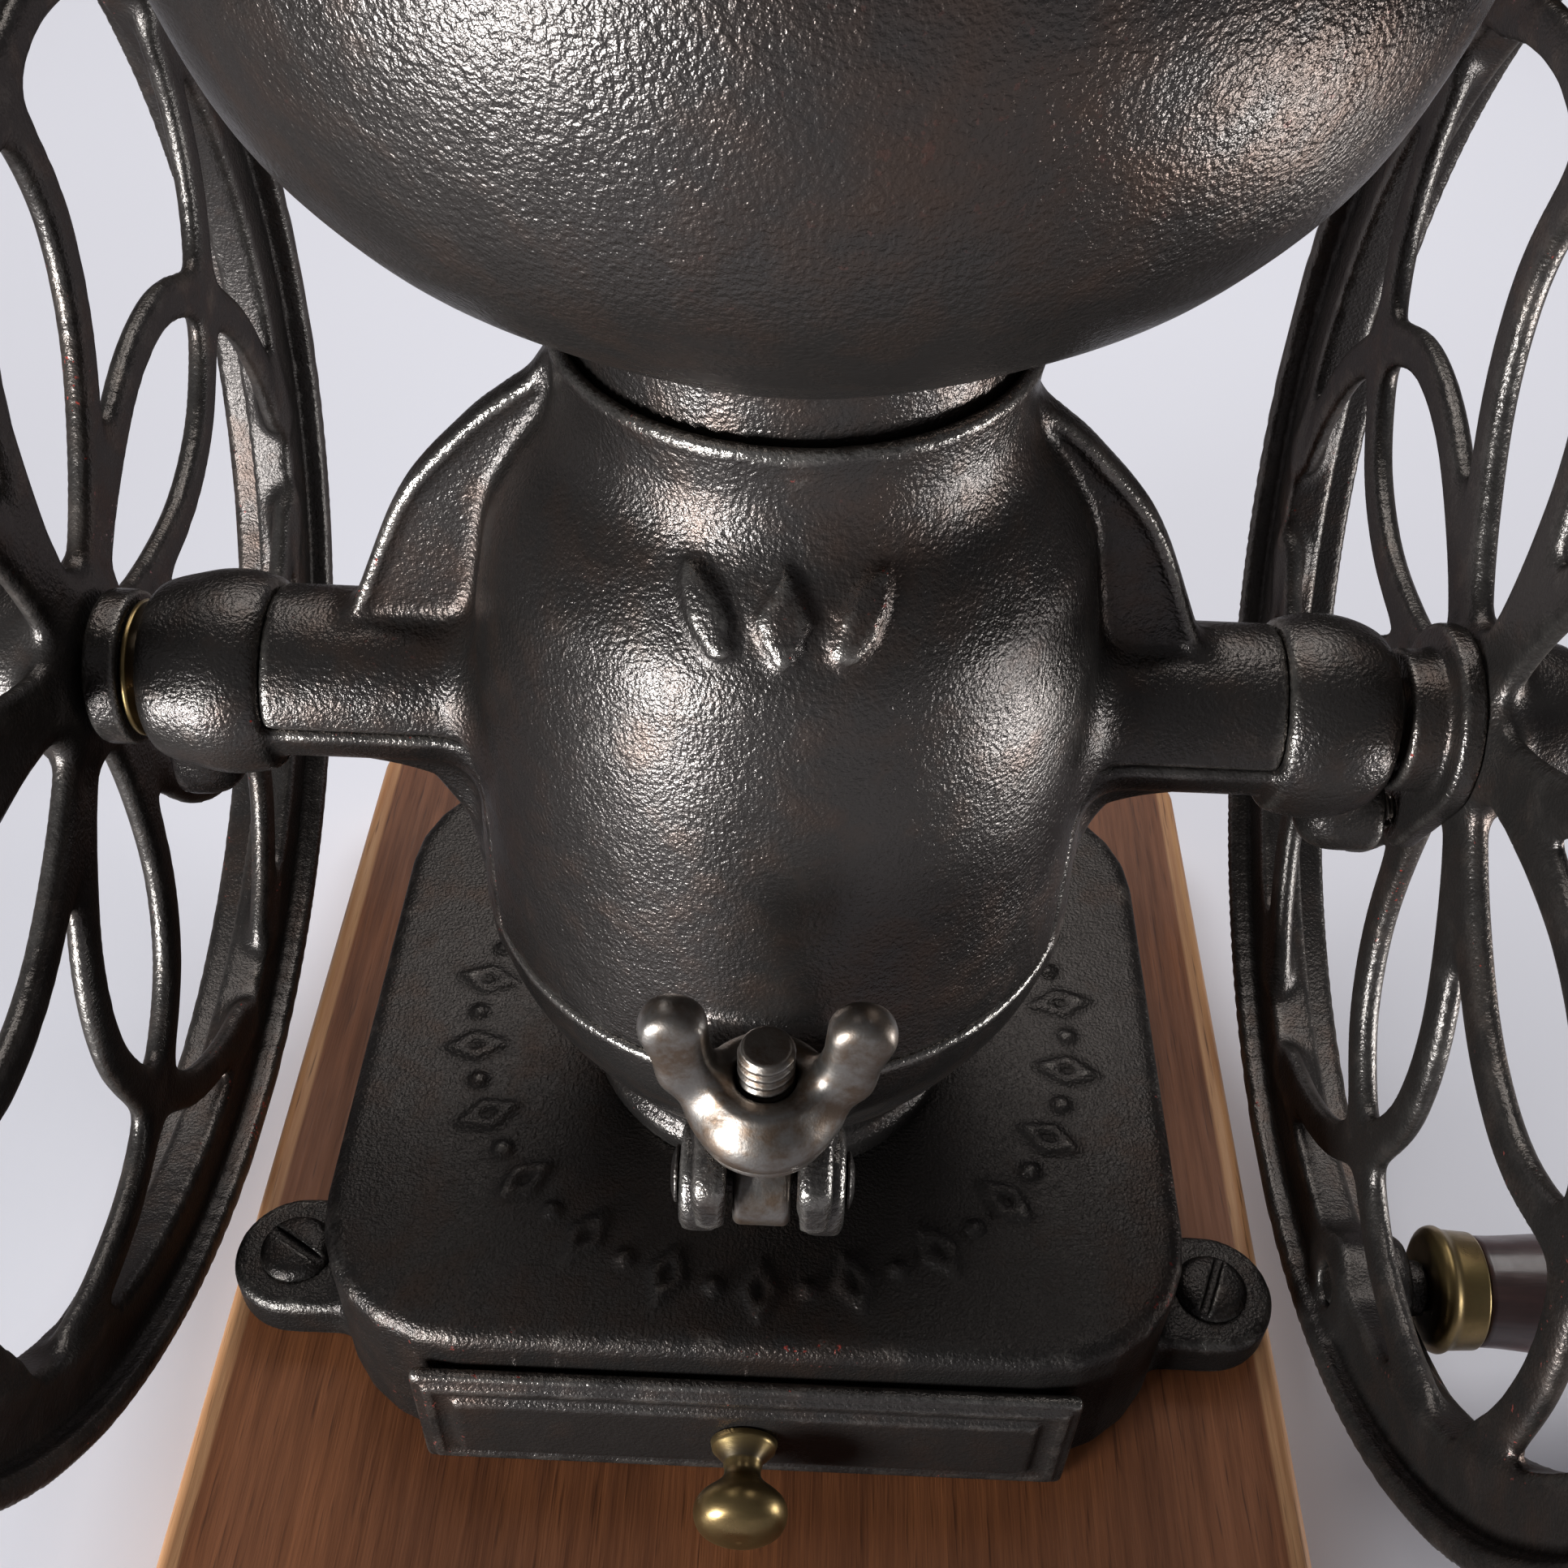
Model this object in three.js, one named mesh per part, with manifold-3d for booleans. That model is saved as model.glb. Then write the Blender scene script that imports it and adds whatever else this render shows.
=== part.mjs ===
// Two wheel counter coffee mill, cast iron on a wooden board, in millimetres.
// +X runs along the shaft to the crank wheel, +Y to the rear and +Z up.
// The origin is the middle of the board's underside, on the surface that the mill stands on.

import * as THREE from 'three';
import Module from 'manifold-3d';
import { mergeVertices } from 'three/addons/utils/BufferGeometryUtils.js';

const wasm = await Module();
wasm.setup();

// Clearances, cuts and facets

const seatGap = 0.3;
const runGap = 0.3;
const overrun = 3;
const sides = { tiny: 10, small: 12, round: 16, smooth: 20, body: 28, wheel: 36 };

// Stand: board, base casting, drawer

const shaftHeight = 130;
const board = { halfWidth: 88, halfDepth: 100, thick: 22, corner: 6, edge: 1.2 };
const base = { halfWidth: 67, halfDepth: 60, corner: 24, height: 33, wall: 5, top: 5, edge: 2 };
const baseEar = { beyond: 9, along: 33, radius: 10.5, thick: 9, edge: 1.5 };
const baseScrew = {
  radius: 2.4, length: 19, headRadius: 6, headHeight: 2.6, slotWidth: 1.5, slotDepth: 1.3,
  firstTurn: 0.5, turn: 0.7,
};
const drawer = { halfWidth: 46, topGap: 4.2, backGap: 11.3, wall: 1.6, railWidth: 3 };
const drawerFront = { beyond: 4, above: 2.5, thick: 3.5, corner: 2.5 };
const drawerKnob = { neckRadius: 3, radius: 7, length: 15, shankRadius: 2, shankLength: 7 };

// Body castings, which turn about a vertical axis a little right of the wheels' middle.
// Each share is of the radius, and of the height between the casting's ends.

const bodyShift = 1.5;
const seamDrop = 30;
const wall = 4;
const body = { radius: 43.9, top: 59 };
const eggShares = [
  [1, 0], [0.97, 0.36], [0.942, 0.517], [0.909, 0.607], [0.865, 0.697],
  [0.753, 0.787], [0.656, 0.854], [0.645, 0.91], [0.674, 0.966], [0.695, 1],
];
const eggInsideShares = [
  [1, 0], [0.97, 0.4], [0.927, 0.6], [0.875, 0.725], [0.79, 0.825], [0.687, 0.9], [0.614, 0.9625], [0.6015, 1],
];
const bowlShares = [[1, 0], [0.979, 0.2], [0.911, 0.4], [0.786, 0.68], [0.661, 0.857], [0.649, 0.957]];
const bowlInsideShares = [[1, 0], [0.967, 0.2], [0.892, 0.4], [0.739, 0.655]];
const chuteTopShare = 0.844;
const throat = { lip: 3.2, ledge: 3.8, ledgeDepth: 5, chamfer: 1.2 };
const funnel = { neckRadius: 13.5, neckTop: 20, wall: 2.5 };
const foot = { flange: 1.5, thick: 5, chuteWall: 8.5 };
const footScrew = {
  count: 4, radius: 1.7, headRadius: 4, headHeight: 2.4, slotWidth: 1.2, slotDepth: 1.1, turn: 0.9,
};

// Ring of raised lozenges on the base, with shares of the room between the foot and the base's edge

const ringMotif = { count: 22, height: 0.9 };
const ringShares = { place: 0.667, halfLength: 0.1867, halfWidth: 0.1067 };

// Arms, bearing bulbs and webs, the webs with shares of their reach and height

const arm = { radius: 12.6, root: 4.9, length: 24.8, cheekFlare: 6, lowerRise: 1.6 };
const bulb = {
  neckRadius: 13.2, radius: 14.3, crest: 7.3, length: 15.8, leftExtra: 1.7,
  endRadius: 10.4, leftEndRadius: 10.2,
};
const lug = { below: 3.6, radius: 6.1, start: 8.3, endGap: 2.2, edge: 4.2, leftRise: 1.8 };
const web = { halfThick: 1.9, edge: 0.8, inset: 8.7, topDrop: 4 };
const webShares = [
  [0.99, 0.191], [0.9425, 0.258], [0.904, 0.349], [0.8725, 0.429], [0.832, 0.524],
  [0.787, 0.607], [0.736, 0.678], [0.6775, 0.745], [0.625, 0.802], [0.572, 0.849],
  [0.514, 0.898], [0.483, 0.942], [0.45, 1], [0.4, 0.727], [0.55, 0.16],
];
const gusset = { halfThick: 4.2, drop: 38 };
const gussetShares = [
  [0.6, 0.105], [1, 0.105], [0.967, 0.316], [0.817, 0.408], [0.75, 0.605], [0.708, 0.895], [0.633, 1],
];
const bush = { radius: 8.7, beyond: 2.1, inset: 1 };

// Front clamp: swing bolt, washer and wing nut between lugs

const clamp = { beyond: 16.1, pinRise: 1.4, pinRadius: 2.2, pinHead: 3.6, pinHeadLength: 1 };
const clampLug = { inner: 5.2, outer: 10.3, radius: 7 };
const pad = { halfWidth: 8.6, radius: 11.9, front: 8.6, slotHalfWidth: 4.3 };
const swingBolt = { radius: 3.5, tipBeyond: 5.4, eyeRadius: 6, eyeHalfWidth: 3.6, tipEdge: 1 };
const washer = { thick: 1, radius: 8.2 };
const nut = {
  hubRadius: 9.2, topRadius: 6.4, height: 8.2, wingReach: 15, wingTop: 20.7, wingHalfThick: 2.9,
};

// Rear hinge between the two castings

const hinge = {
  beyond: 8.1, rise: 3.5, radius: 5.4, halfKnuckle: 6, lugWidth: 5,
  pinRadius: 2.4, pinHead: 3.8, pinHeadLength: 2,
};

// Hopper and lid, the hopper's bowl with shares of its radius and height

const hopper = { radius: 66, neckHeight: 12, height: 86, wall: 2.5, rimInset: 3.4, rimHeight: 4 };
const hopperShares = [
  [0.5, 0.019], [0.667, 0.105], [0.803, 0.191], [0.924, 0.326], [1, 0.535], [0.985, 0.744], [0.909, 0.953],
];
const lidEar = { beyond: 5.4, radius: 5.5, thick: 3 };
const lid = { inset: 1.6, thick: 2.2, crown: 21, crownRadius: 9 };
const lidShares = [[1, 0], [1, 0.12], [0.9, 0.38], [0.68, 0.72], [0.38, 0.93]];
const lidKnob = { neckRadius: 3.2, radius: 7.4, height: 14.4 };
const pivotScrew = { radius: 2.2, headRadius: 4.6, headHeight: 2.2, slotWidth: 1.1, slotDepth: 1 };

// Shaft and what turns with it, the feed screw and burrs with shares of the body's inner radius

const shaft = { radius: 6, beyond: 3.7 };
const troughShares = { from: -0.451, to: 0.877 };
const trough = { radius: 13.4, wall: 2.8, web: 5, webHalfWidth: 21, endWall: 3 };
const feedScrew = {
  startGap: 1.5, endGap: 2, coreRadius: 8, ridgeHalfWidth: 2, clearance: 1.4, turns: 2.5, stepsPerTurn: 8,
};
const burr = {
  radius: 18, holeRadius: 11, thick: 5.7, turningThick: 7, opening: 1.2,
  teeth: 8, toothWidth: 1.6, toothDepth: 1.2,
};
const adjustTravel = 1;
const wheel = {
  radius: 111.1, rimWidth: 18.6, rimInset: 3.6, rimThick: 4.1, ringWidth: 9.6,
  ringDepth: 7.6, rodDepth: 3.9, rodHalfWidth: 4, petals: 6, firstPetal: 13,
};
const rodShares = [
  [0.063, 0.036], [0.216, 0.0945], [0.378, 0.1305], [0.522, 0.1125], [0.63, 0.045],
  [0.684, -0.018], [0.756, -0.126], [0.792, -0.252], [0.797, -0.36],
];
const hub = { step: 0.4, leftStep: 2, radius: 12.6, faceRadius: 10.6, beyond: 7.1 };
const hubNut = { cornerRadius: 10.4, thick: 7, corners: 6 };
const collar = { radius: 10.9, edge: 0.8 };
const thrustWasher = { gap: 1.2, thick: 0.8, radius: 9.6 };
const plate = {
  gap: 1.5, bossLength: 5.2, bossRadius: 10, thick: 3.4, radius: 13.7, earRadius: 5.6, earRise: 0.5,
  keyRadius: 1.8,
};
const adjustScrew = { radius: 2.9, slotWidth: 1.1, slotDepth: 1.2 };

// Crank handle on the right wheel, at an angle from straight down.
// The grip's shares are of its radius and length.

const crank = {
  inset: 8.958, angle: 18.258, bossRadius: 8.5, bossDrop: 3.3, pinRadius: 3.2,
  collarRadius: 4.5, collarLength: 3.2,
};
const ferrule = { length: 8, radius: 9.6, lip: 10.4 };
const grip = { radius: 14.4, length: 69.6 };
const gripShares = [
  [0.618, 0], [0.639, 0.086], [0.736, 0.287], [0.889, 0.517],
  [1, 0.718], [0.972, 0.862], [0.792, 0.963], [0.521, 1],
];
const crankPin = { headRadius: 5, headLength: 2.6, slotWidth: 1.2, slotDepth: 1.1 };

// Heights from the shaft

const boardTop = board.thick - shaftHeight;
const baseTop = boardTop + base.height;
const baseUnder = baseTop - base.top;
const footBottom = baseTop + seatGap;
const footTop = footBottom + foot.thick;
const earTop = boardTop + baseEar.thick;
const drawerBottom = boardTop + seatGap;
const drawerHeight = base.height - base.top - seatGap - drawer.topGap;
const frontHeight = drawerHeight + drawerFront.above;
const knobHeight = drawerBottom + frontHeight / 2;
const ledge = body.top - throat.ledgeDepth;
const pinZ = clamp.pinRise - seamDrop;
const hingeZ = hinge.rise - seamDrop;
const neckTop = ledge + hopper.neckHeight;
const rimTop = neckTop + hopper.height;
const lidBottom = rimTop + seatGap;

// Radii and places across the shaft

const innerRadius = body.radius - wall;
const neckRadius = body.radius * bowlShares[bowlShares.length - 1][0];
const topRadius = body.radius * eggShares[eggShares.length - 1][0];
const seatRadius = topRadius - throat.lip;
const throatRadius = seatRadius - throat.ledge;
const footRadius = neckRadius + foot.flange;
const chuteRadius = neckRadius - foot.chuteWall;
const footScrewRing = neckRadius - foot.chuteWall / 2;
const boreRadius = bush.radius + seatGap;
const clampY = -body.radius - clamp.beyond;
const hingeY = body.radius + hinge.beyond;
const lugDrop = bulb.radius + lug.below;
const rimRadius = hopper.radius - hopper.rimInset;
const earReach = rimRadius + lidEar.beyond;
const earBore = pivotScrew.radius + seatGap;
const crankTurn = THREE.MathUtils.degToRad(crank.angle);
const crankY = -(wheel.radius - crank.inset) * Math.sin(crankTurn);
const crankZ = -(wheel.radius - crank.inset) * Math.cos(crankTurn);

// Places along the shaft, from the body outwards

const armInner = innerRadius - arm.root;
const armOuter = body.radius + arm.length;
const webReach = armOuter - web.inset;
const rightEnd = armOuter + bulb.length;
const leftEnd = rightEnd + bulb.leftExtra;
const plateFrom = rightEnd + plate.gap;
const plateFace = plateFrom + plate.bossLength;
const plateBack = plateFace + plate.thick;
const lugFrom = armOuter + lug.start;
const lugTo = plateFace - lug.endGap;
const lugBoreFrom = lugFrom + lug.edge;
const hubInner = plateBack + seatGap;
const wheelFace = hubInner + hub.step;
const hubInnerLeft = wheelFace - hub.leftStep;
const wheelBack = wheelFace + wheel.ringDepth;
const rimFrom = wheelFace - wheel.rimInset;
const rimTo = rimFrom + wheel.rimWidth;
const hubOuter = wheelBack + hub.beyond;
const nutFrom = hubOuter + seatGap;
const shaftEnd = nutFrom + hubNut.thick + shaft.beyond;
const washerFrom = leftEnd + thrustWasher.gap;
const collarFrom = washerFrom + thrustWasher.thick + seatGap;
const bossEnd = rimTo - crank.bossDrop;
const crankSeat = bossEnd + seatGap;
const ferruleFrom = crankSeat + crank.collarLength + runGap;
const gripFrom = ferruleFrom + ferrule.length + seatGap;
const troughFrom = innerRadius * troughShares.from;
const troughTo = innerRadius * troughShares.to;
const fixedBurrRight = troughFrom - seatGap;
const fixedBurrLeft = fixedBurrRight - burr.thick;
const turningBurrRight = fixedBurrLeft - burr.opening;
const turningBurrLeft = turningBurrRight - burr.turningThick;

// Shares turned into points: radii or lengths of one size, heights between two

const scaled = (shares, size, from, to) => shares.map(([a, b]) => [a * size, from + b * (to - from)]);
const egg = scaled(eggShares, body.radius, -seamDrop, body.top);
const eggRoom = scaled(eggInsideShares, innerRadius, -seamDrop, ledge - wall);
const bowl = scaled(bowlShares, body.radius, -seamDrop, footTop);
const bowlRoom = scaled(bowlInsideShares, innerRadius, -seamDrop, footTop);
const chuteTop = -seamDrop + chuteTopShare * (footTop + seamDrop);

// Finishes

function paint(color, roughness, metalness) {
  return new THREE.MeshStandardMaterial({ color, roughness, metalness, flatShading: true });
}
const blackIron = paint(0x2a2624, 0.42, 0.75);
const dullIron = paint(0x26262a, 0.6, 0.6);
const wornSteel = paint(0x8a8378, 0.4, 0.9);
const brass = paint(0x8c6f35, 0.4, 0.9);
const boardWood = paint(0xa8653a, 0.5, 0);
const gripWood = paint(0x3b2117, 0.35, 0);

// Solids

function solidOf(geometry) {
  const bare = geometry.clone();
  bare.deleteAttribute('normal');
  bare.deleteAttribute('uv');
  const merged = mergeVertices(bare);
  const place = merged.getAttribute('position');
  const corner = [new THREE.Vector3(), new THREE.Vector3(), new THREE.Vector3()];
  const triVerts = [];
  let volume = 0;
  for (let i = 0; i < merged.index.count; i += 3) {
    const ids = [0, 1, 2].map((k) => merged.index.getX(i + k));
    if (ids[0] === ids[1] || ids[1] === ids[2] || ids[2] === ids[0]) continue;
    ids.forEach((id, k) => corner[k].fromBufferAttribute(place, id));
    volume += corner[0].dot(corner[1].clone().cross(corner[2]));
    triVerts.push(...ids);
  }
  if (volume < 0) triVerts.reverse();
  const vertProperties = Float32Array.from(place.array);
  const mesh = new wasm.Mesh({ numProp: 3, vertProperties, triVerts: Uint32Array.from(triVerts) });
  return new wasm.Manifold(mesh);
}

function geometryOf(solid) {
  const mesh = solid.getMesh();
  const points = new THREE.BufferAttribute(Float32Array.from(mesh.vertProperties), mesh.numProp);
  const geometry = new THREE.BufferGeometry().setAttribute('position', points);
  geometry.setIndex(Array.from(mesh.triVerts));
  geometry.computeVertexNormals();
  return geometry;
}

// Axis maps: a shape's own x, y and depth go to these directions

const unitX = new THREE.Vector3(1, 0, 0);
const unitY = new THREE.Vector3(0, 1, 0);
const unitZ = new THREE.Vector3(0, 0, 1);
const alongX = new THREE.Matrix4().makeBasis(unitY, unitZ, unitX);
const alongY = new THREE.Matrix4().makeBasis(unitZ, unitX, unitY);
const alongZ = new THREE.Matrix4();
const mirrorX = new THREE.Matrix4().makeScale(-1, 1, 1);

function moved(solid, matrix) {
  return solidOf(geometryOf(solid).applyMatrix4(matrix));
}

const shifted = (solid, x, y, z) => moved(solid, new THREE.Matrix4().makeTranslation(x, y, z));
const rolledX = (solid, angle) => moved(solid, new THREE.Matrix4().makeRotationX(angle));
const rolledZ = (solid, angle) => moved(solid, new THREE.Matrix4().makeRotationZ(angle));
const mirrored = (solid) => moved(solid, mirrorX);

const join = (first, ...rest) => rest.reduce((sum, solid) => sum.add(solid), first);
const cut = (first, ...rest) => rest.reduce((left, solid) => left.subtract(solid), first);

function placed(geometry, direction, x = 0, y = 0, z = 0) {
  return geometry.applyMatrix4(direction).translate(x, y, z);
}

// A profile of [radius, height] points, turned about its height axis
function turned(profile, count, direction = alongZ, x = 0, y = 0, z = 0) {
  const points = profile.map(([r, h]) => new THREE.Vector2(r, h));
  const geometry = new THREE.LatheGeometry(points, count).rotateX(Math.PI / 2);
  return solidOf(placed(geometry, direction, x, y, z));
}

// A profile that goes round a bore and closes on itself
function turnedRing(bore, profile, count, direction = alongZ, x = 0, y = 0, z = 0) {
  const first = [bore, profile[0][1]];
  const last = [bore, profile[profile.length - 1][1]];
  return turned([first, ...profile, last, first], count, direction, x, y, z);
}

function rod(radius, from, to, count, direction, x = 0, y = 0, z = 0) {
  return turned([[0, from], [radius, from], [radius, to], [0, to]], count, direction, x, y, z);
}

// A rod with a small chamfer at its far end
function tippedRod(radius, from, to, edge, count, direction, x = 0, y = 0, z = 0) {
  const profile = [[0, from], [radius, from], [radius, to - edge], [radius - edge, to], [0, to]];
  return turned(profile, count, direction, x, y, z);
}

function tube(radius, bore, from, to, count, direction, x = 0, y = 0, z = 0) {
  return turnedRing(bore, [[radius, from], [radius, to]], count, direction, x, y, z);
}

function outlineShape(points) {
  return new THREE.Shape(points.map(([x, y]) => new THREE.Vector2(x, y)));
}

function roundedShape(halfWidth, halfHeight, radius) {
  const shape = new THREE.Shape();
  const [x, y] = [halfWidth - radius, halfHeight - radius];
  shape.absarc(x, y, radius, 0, Math.PI / 2);
  shape.absarc(-x, y, radius, Math.PI / 2, Math.PI);
  shape.absarc(-x, -y, radius, Math.PI, Math.PI * 1.5);
  shape.absarc(x, -y, radius, Math.PI * 1.5, Math.PI * 2);
  return shape;
}

function extruded(shape, from, to, direction = alongZ, curveSegments = 4) {
  const settings = { depth: to - from, bevelEnabled: false, curveSegments };
  return solidOf(placed(new THREE.ExtrudeGeometry(shape, settings).translate(0, 0, from), direction));
}

// A plate whose edges are chamfered inside its own outline
function chamfered(shape, from, to, edge, direction = alongZ, curveSegments = 4) {
  const bevel = { bevelThickness: edge, bevelSize: edge, bevelOffset: -edge, bevelSegments: 1 };
  const settings = { depth: to - from - 2 * edge, curveSegments, ...bevel };
  const geometry = new THREE.ExtrudeGeometry(shape, settings);
  return solidOf(placed(geometry.translate(0, 0, from + edge), direction));
}

function block(xs, ys, zs) {
  const geometry = new THREE.BoxGeometry(xs[1] - xs[0], ys[1] - ys[0], zs[1] - zs[0]);
  return solidOf(geometry.translate((xs[0] + xs[1]) / 2, (ys[0] + ys[1]) / 2, (zs[0] + zs[1]) / 2));
}

const aroundBody = (half) => [bodyShift - half, bodyShift + half];
const around = (half) => [-half, half];
const ordered = (a, b) => [Math.min(a, b), Math.max(a, b)];

function ring(count, first = 0) {
  return Array.from({ length: count }, (_, i) => first + (i * 2 * Math.PI) / count);
}

// A round-headed slotted screw along +Z, its seat at height zero
function slottedScrew(size, length) {
  const { headRadius: r, headHeight: h } = size;
  const head = [[0, 0], [r, 0], [r, h * 0.4], [r * 0.8, h * 0.8], [r * 0.45, h], [0, h]];
  const slot = block(around(r + overrun), around(size.slotWidth / 2), [h - size.slotDepth, h + overrun]);
  return cut(join(turned(head, sides.tiny), rod(size.radius, -length, h / 2, sides.tiny, alongZ)), slot);
}

// Board and base

// The front screws are at the base's sides, the rear ones behind it
function screwPlaces() {
  const beside = base.halfWidth + baseEar.beyond;
  const behind = base.halfDepth + baseEar.beyond;
  return [1, -1].flatMap((side) => [[side * baseEar.along, behind], [side * beside, -baseEar.along]]);
}

function screwHoles(bottom, top) {
  const radius = baseScrew.radius + runGap;
  return screwPlaces().map(([x, y]) => rod(radius, bottom, top, sides.small, alongZ, x, y));
}

function makeBoard() {
  const shape = roundedShape(board.halfWidth, board.halfDepth, board.corner);
  const slab = chamfered(shape, -shaftHeight, boardTop, board.edge);
  return cut(slab, ...screwHoles(earTop - baseScrew.length - seatGap, boardTop + overrun));
}

function makeBase() {
  const low = boardTop + seatGap;
  const shape = roundedShape(base.halfWidth, base.halfDepth, base.corner);
  const outside = chamfered(shape, low, baseTop, base.edge);
  const [inX, inY] = [base.halfWidth - base.wall, base.halfDepth - base.wall];
  const inside = extruded(roundedShape(inX, inY, base.corner - base.wall), low - overrun, baseUnder);
  const opening = drawer.halfWidth + runGap;
  const rails = [1, -1].map((side) => {
    const xs = ordered(side * opening, side * (opening + drawer.railWidth));
    return block(xs, around(inY + base.wall / 2), [low, baseTop - base.top / 2]);
  });
  const portalTop = drawerBottom + drawerHeight + runGap;
  const portalDepth = [-base.halfDepth - overrun, overrun - inY];
  const portal = block(around(opening), portalDepth, [low - overrun, portalTop]);
  const chute = rod(chuteRadius, baseUnder - overrun, baseTop + overrun, sides.round, alongZ, bodyShift);
  const ears = screwPlaces().map(([x, y]) => makeBaseEar(x, y, low));
  const lozenges = ring(ringMotif.count, Math.PI / ringMotif.count).map(makeLozenge);
  const shell = cut(join(cut(outside, inside), ...rails), portal);
  const footHoles = footScrewHoles(baseUnder - overrun, baseTop + overrun);
  const earHoles = screwHoles(low - overrun, earTop + overrun);
  return cut(join(shell, ...ears, ...lozenges), chute, ...earHoles, ...footHoles);
}

function makeBaseEar(x, y, low) {
  const shape = new THREE.Shape();
  const reach = baseEar.beyond + base.wall / 2;
  const sideTurn = x > 0 ? 0 : Math.PI;
  shape.absarc(0, 0, baseEar.radius, -Math.PI / 2, Math.PI / 2);
  shape.lineTo(-reach, baseEar.radius);
  shape.lineTo(-reach, -baseEar.radius);
  const ear = chamfered(shape, low, earTop, baseEar.edge);
  return shifted(rolledZ(ear, y > 0 ? Math.PI / 2 : sideTurn), x, y, 0);
}

function makeLozenge(angle) {
  const room = base.halfDepth - footRadius;
  const [a, b] = [ringShares.halfLength * room, ringShares.halfWidth * room];
  const shape = outlineShape([[0, -a], [b, 0], [0, a], [-b, 0]]);
  const flat = rolledZ(extruded(shape, -base.edge / 2, ringMotif.height), angle);
  const radius = footRadius + ringShares.place * room;
  return shifted(flat, bodyShift + radius * Math.cos(angle), radius * Math.sin(angle), baseTop);
}

function makeBaseScrews() {
  return screwPlaces().map(([x, y], i) => {
    const angle = baseScrew.firstTurn + baseScrew.turn * i;
    return shifted(rolledZ(slottedScrew(baseScrew, baseScrew.length), angle), x, y, earTop + seatGap);
  });
}

// Drawer

function makeDrawerBox() {
  const [w, t] = [drawer.halfWidth, drawer.wall];
  const front = -base.halfDepth - seatGap;
  const back = base.halfDepth - base.wall - drawer.backGap;
  const top = drawerBottom + drawerHeight;
  const outside = block(around(w), [front, back], [drawerBottom, top]);
  const inside = block(around(w - t), [front + t, back - t], [drawerBottom + t, top + overrun]);
  return cut(outside, inside, knobHole(front - overrun, front + t + overrun));
}

function knobHole(from, to) {
  return rod(drawerKnob.shankRadius + runGap, from, to, sides.small, alongY, 0, 0, knobHeight);
}

function makeDrawerFront() {
  const shape = roundedShape(drawer.halfWidth + drawerFront.beyond, frontHeight / 2, drawerFront.corner);
  const back = -base.halfDepth - 2 * seatGap;
  const panel = rolledX(chamfered(shape, 0, drawerFront.thick, drawerFront.corner / 2), Math.PI / 2);
  const hole = knobHole(back - drawerFront.thick - overrun, back + overrun);
  return cut(shifted(panel, 0, back, knobHeight), hole);
}

function makeDrawerKnob() {
  const { neckRadius: n, radius: r, length: l, shankRadius: s, shankLength } = drawerKnob;
  const shank = [[0, -shankLength], [s, -shankLength], [s, 0], [n * 1.7, 0]];
  const crown = [[n, l * 0.16], [n, l * 0.4], [r, l * 0.6], [r, l * 0.82], [r * 0.6, l], [0, l]];
  const knob = rolledX(turned([...shank, ...crown], sides.round), Math.PI / 2);
  return shifted(knob, 0, -base.halfDepth - drawerFront.thick - 3 * seatGap, knobHeight);
}

// Inner spaces that both castings share

function eggInside() {
  const low = -seamDrop - overrun;
  const [, top] = eggRoom[eggRoom.length - 1];
  const neck = [[throatRadius, top], [throatRadius, ledge + overrun], [0, ledge + overrun]];
  return turned([[0, low], [innerRadius, low], ...eggRoom, ...neck], sides.body, alongZ, bodyShift);
}

function bowlInside() {
  const [top, bottom] = [overrun - seamDrop, footBottom - overrun];
  const chute = [[chuteRadius, chuteTop], [chuteRadius, bottom], [0, bottom]];
  return turned([[0, top], [innerRadius, top], ...bowlRoom, ...chute], sides.body, alongZ, bodyShift);
}

function boreThrough() {
  return rod(boreRadius, -leftEnd - overrun, rightEnd + overrun, sides.round, alongX);
}

// The two regions beside the body where the lower casting reaches up to the shaft
function cheekSpace(grow) {
  const shape = outlineShape([
    [-arm.radius - grow, grow - seatGap / 2],
    [-arm.radius - arm.cheekFlare * 0.7 - grow, -seamDrop / 2],
    [-arm.radius - arm.cheekFlare - grow, -seamDrop - overrun],
    [arm.radius + arm.cheekFlare / 3 + grow, -seamDrop - overrun],
    [arm.radius + grow, grow - seatGap / 2],
  ]);
  const [from, to] = [armInner - wall - overrun - grow, armOuter + overrun];
  return [extruded(shape, from, to, alongX), extruded(shape, -to, -from, alongX)];
}

function armRods(end) {
  return [ordered(armInner, end), ordered(-armInner, -end)].map(([from, to]) => {
    return rod(arm.radius, from, to, sides.round, alongX);
  });
}

const wide = 2 * wheel.radius;
const above = (z) => block(around(wide), around(wide), [z, z + wide]);
const below = (z) => block(around(wide), around(wide), [z - wide, z]);

// Upper casting

function makeUpperCase() {
  const low = seatGap / 2;
  const skin = [[0, low - seamDrop], [body.radius, low - seamDrop], ...egg.slice(1), [0, body.top]];
  const dome = turned(skin, sides.body, alongZ, bodyShift);
  const arms = armRods(armOuter - seatGap).map((solid) => solid.intersect(above(low)));
  const webs = [1, -1].map(makeWeb);
  const hollow = cut(join(dome, ...arms, ...webs), eggInside(), hopperSeat());
  const screwSpace = rod(trough.radius, troughFrom, troughTo, sides.round, alongX);
  const spaces = [boreThrough(), screwSpace, ...cheekSpace(seatGap)];
  return join(cut(join(hollow, makeFunnel(), makePad()), ...spaces), makeKnuckle());
}

function hopperSeat() {
  const [r, top, edge] = [seatRadius, body.top, throat.chamfer];
  const rim = [[r, top - edge], [r + edge, top], [r, top + overrun], [0, top + overrun]];
  return turned([[0, ledge], [r, ledge], ...rim], sides.body, alongZ, bodyShift);
}

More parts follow.
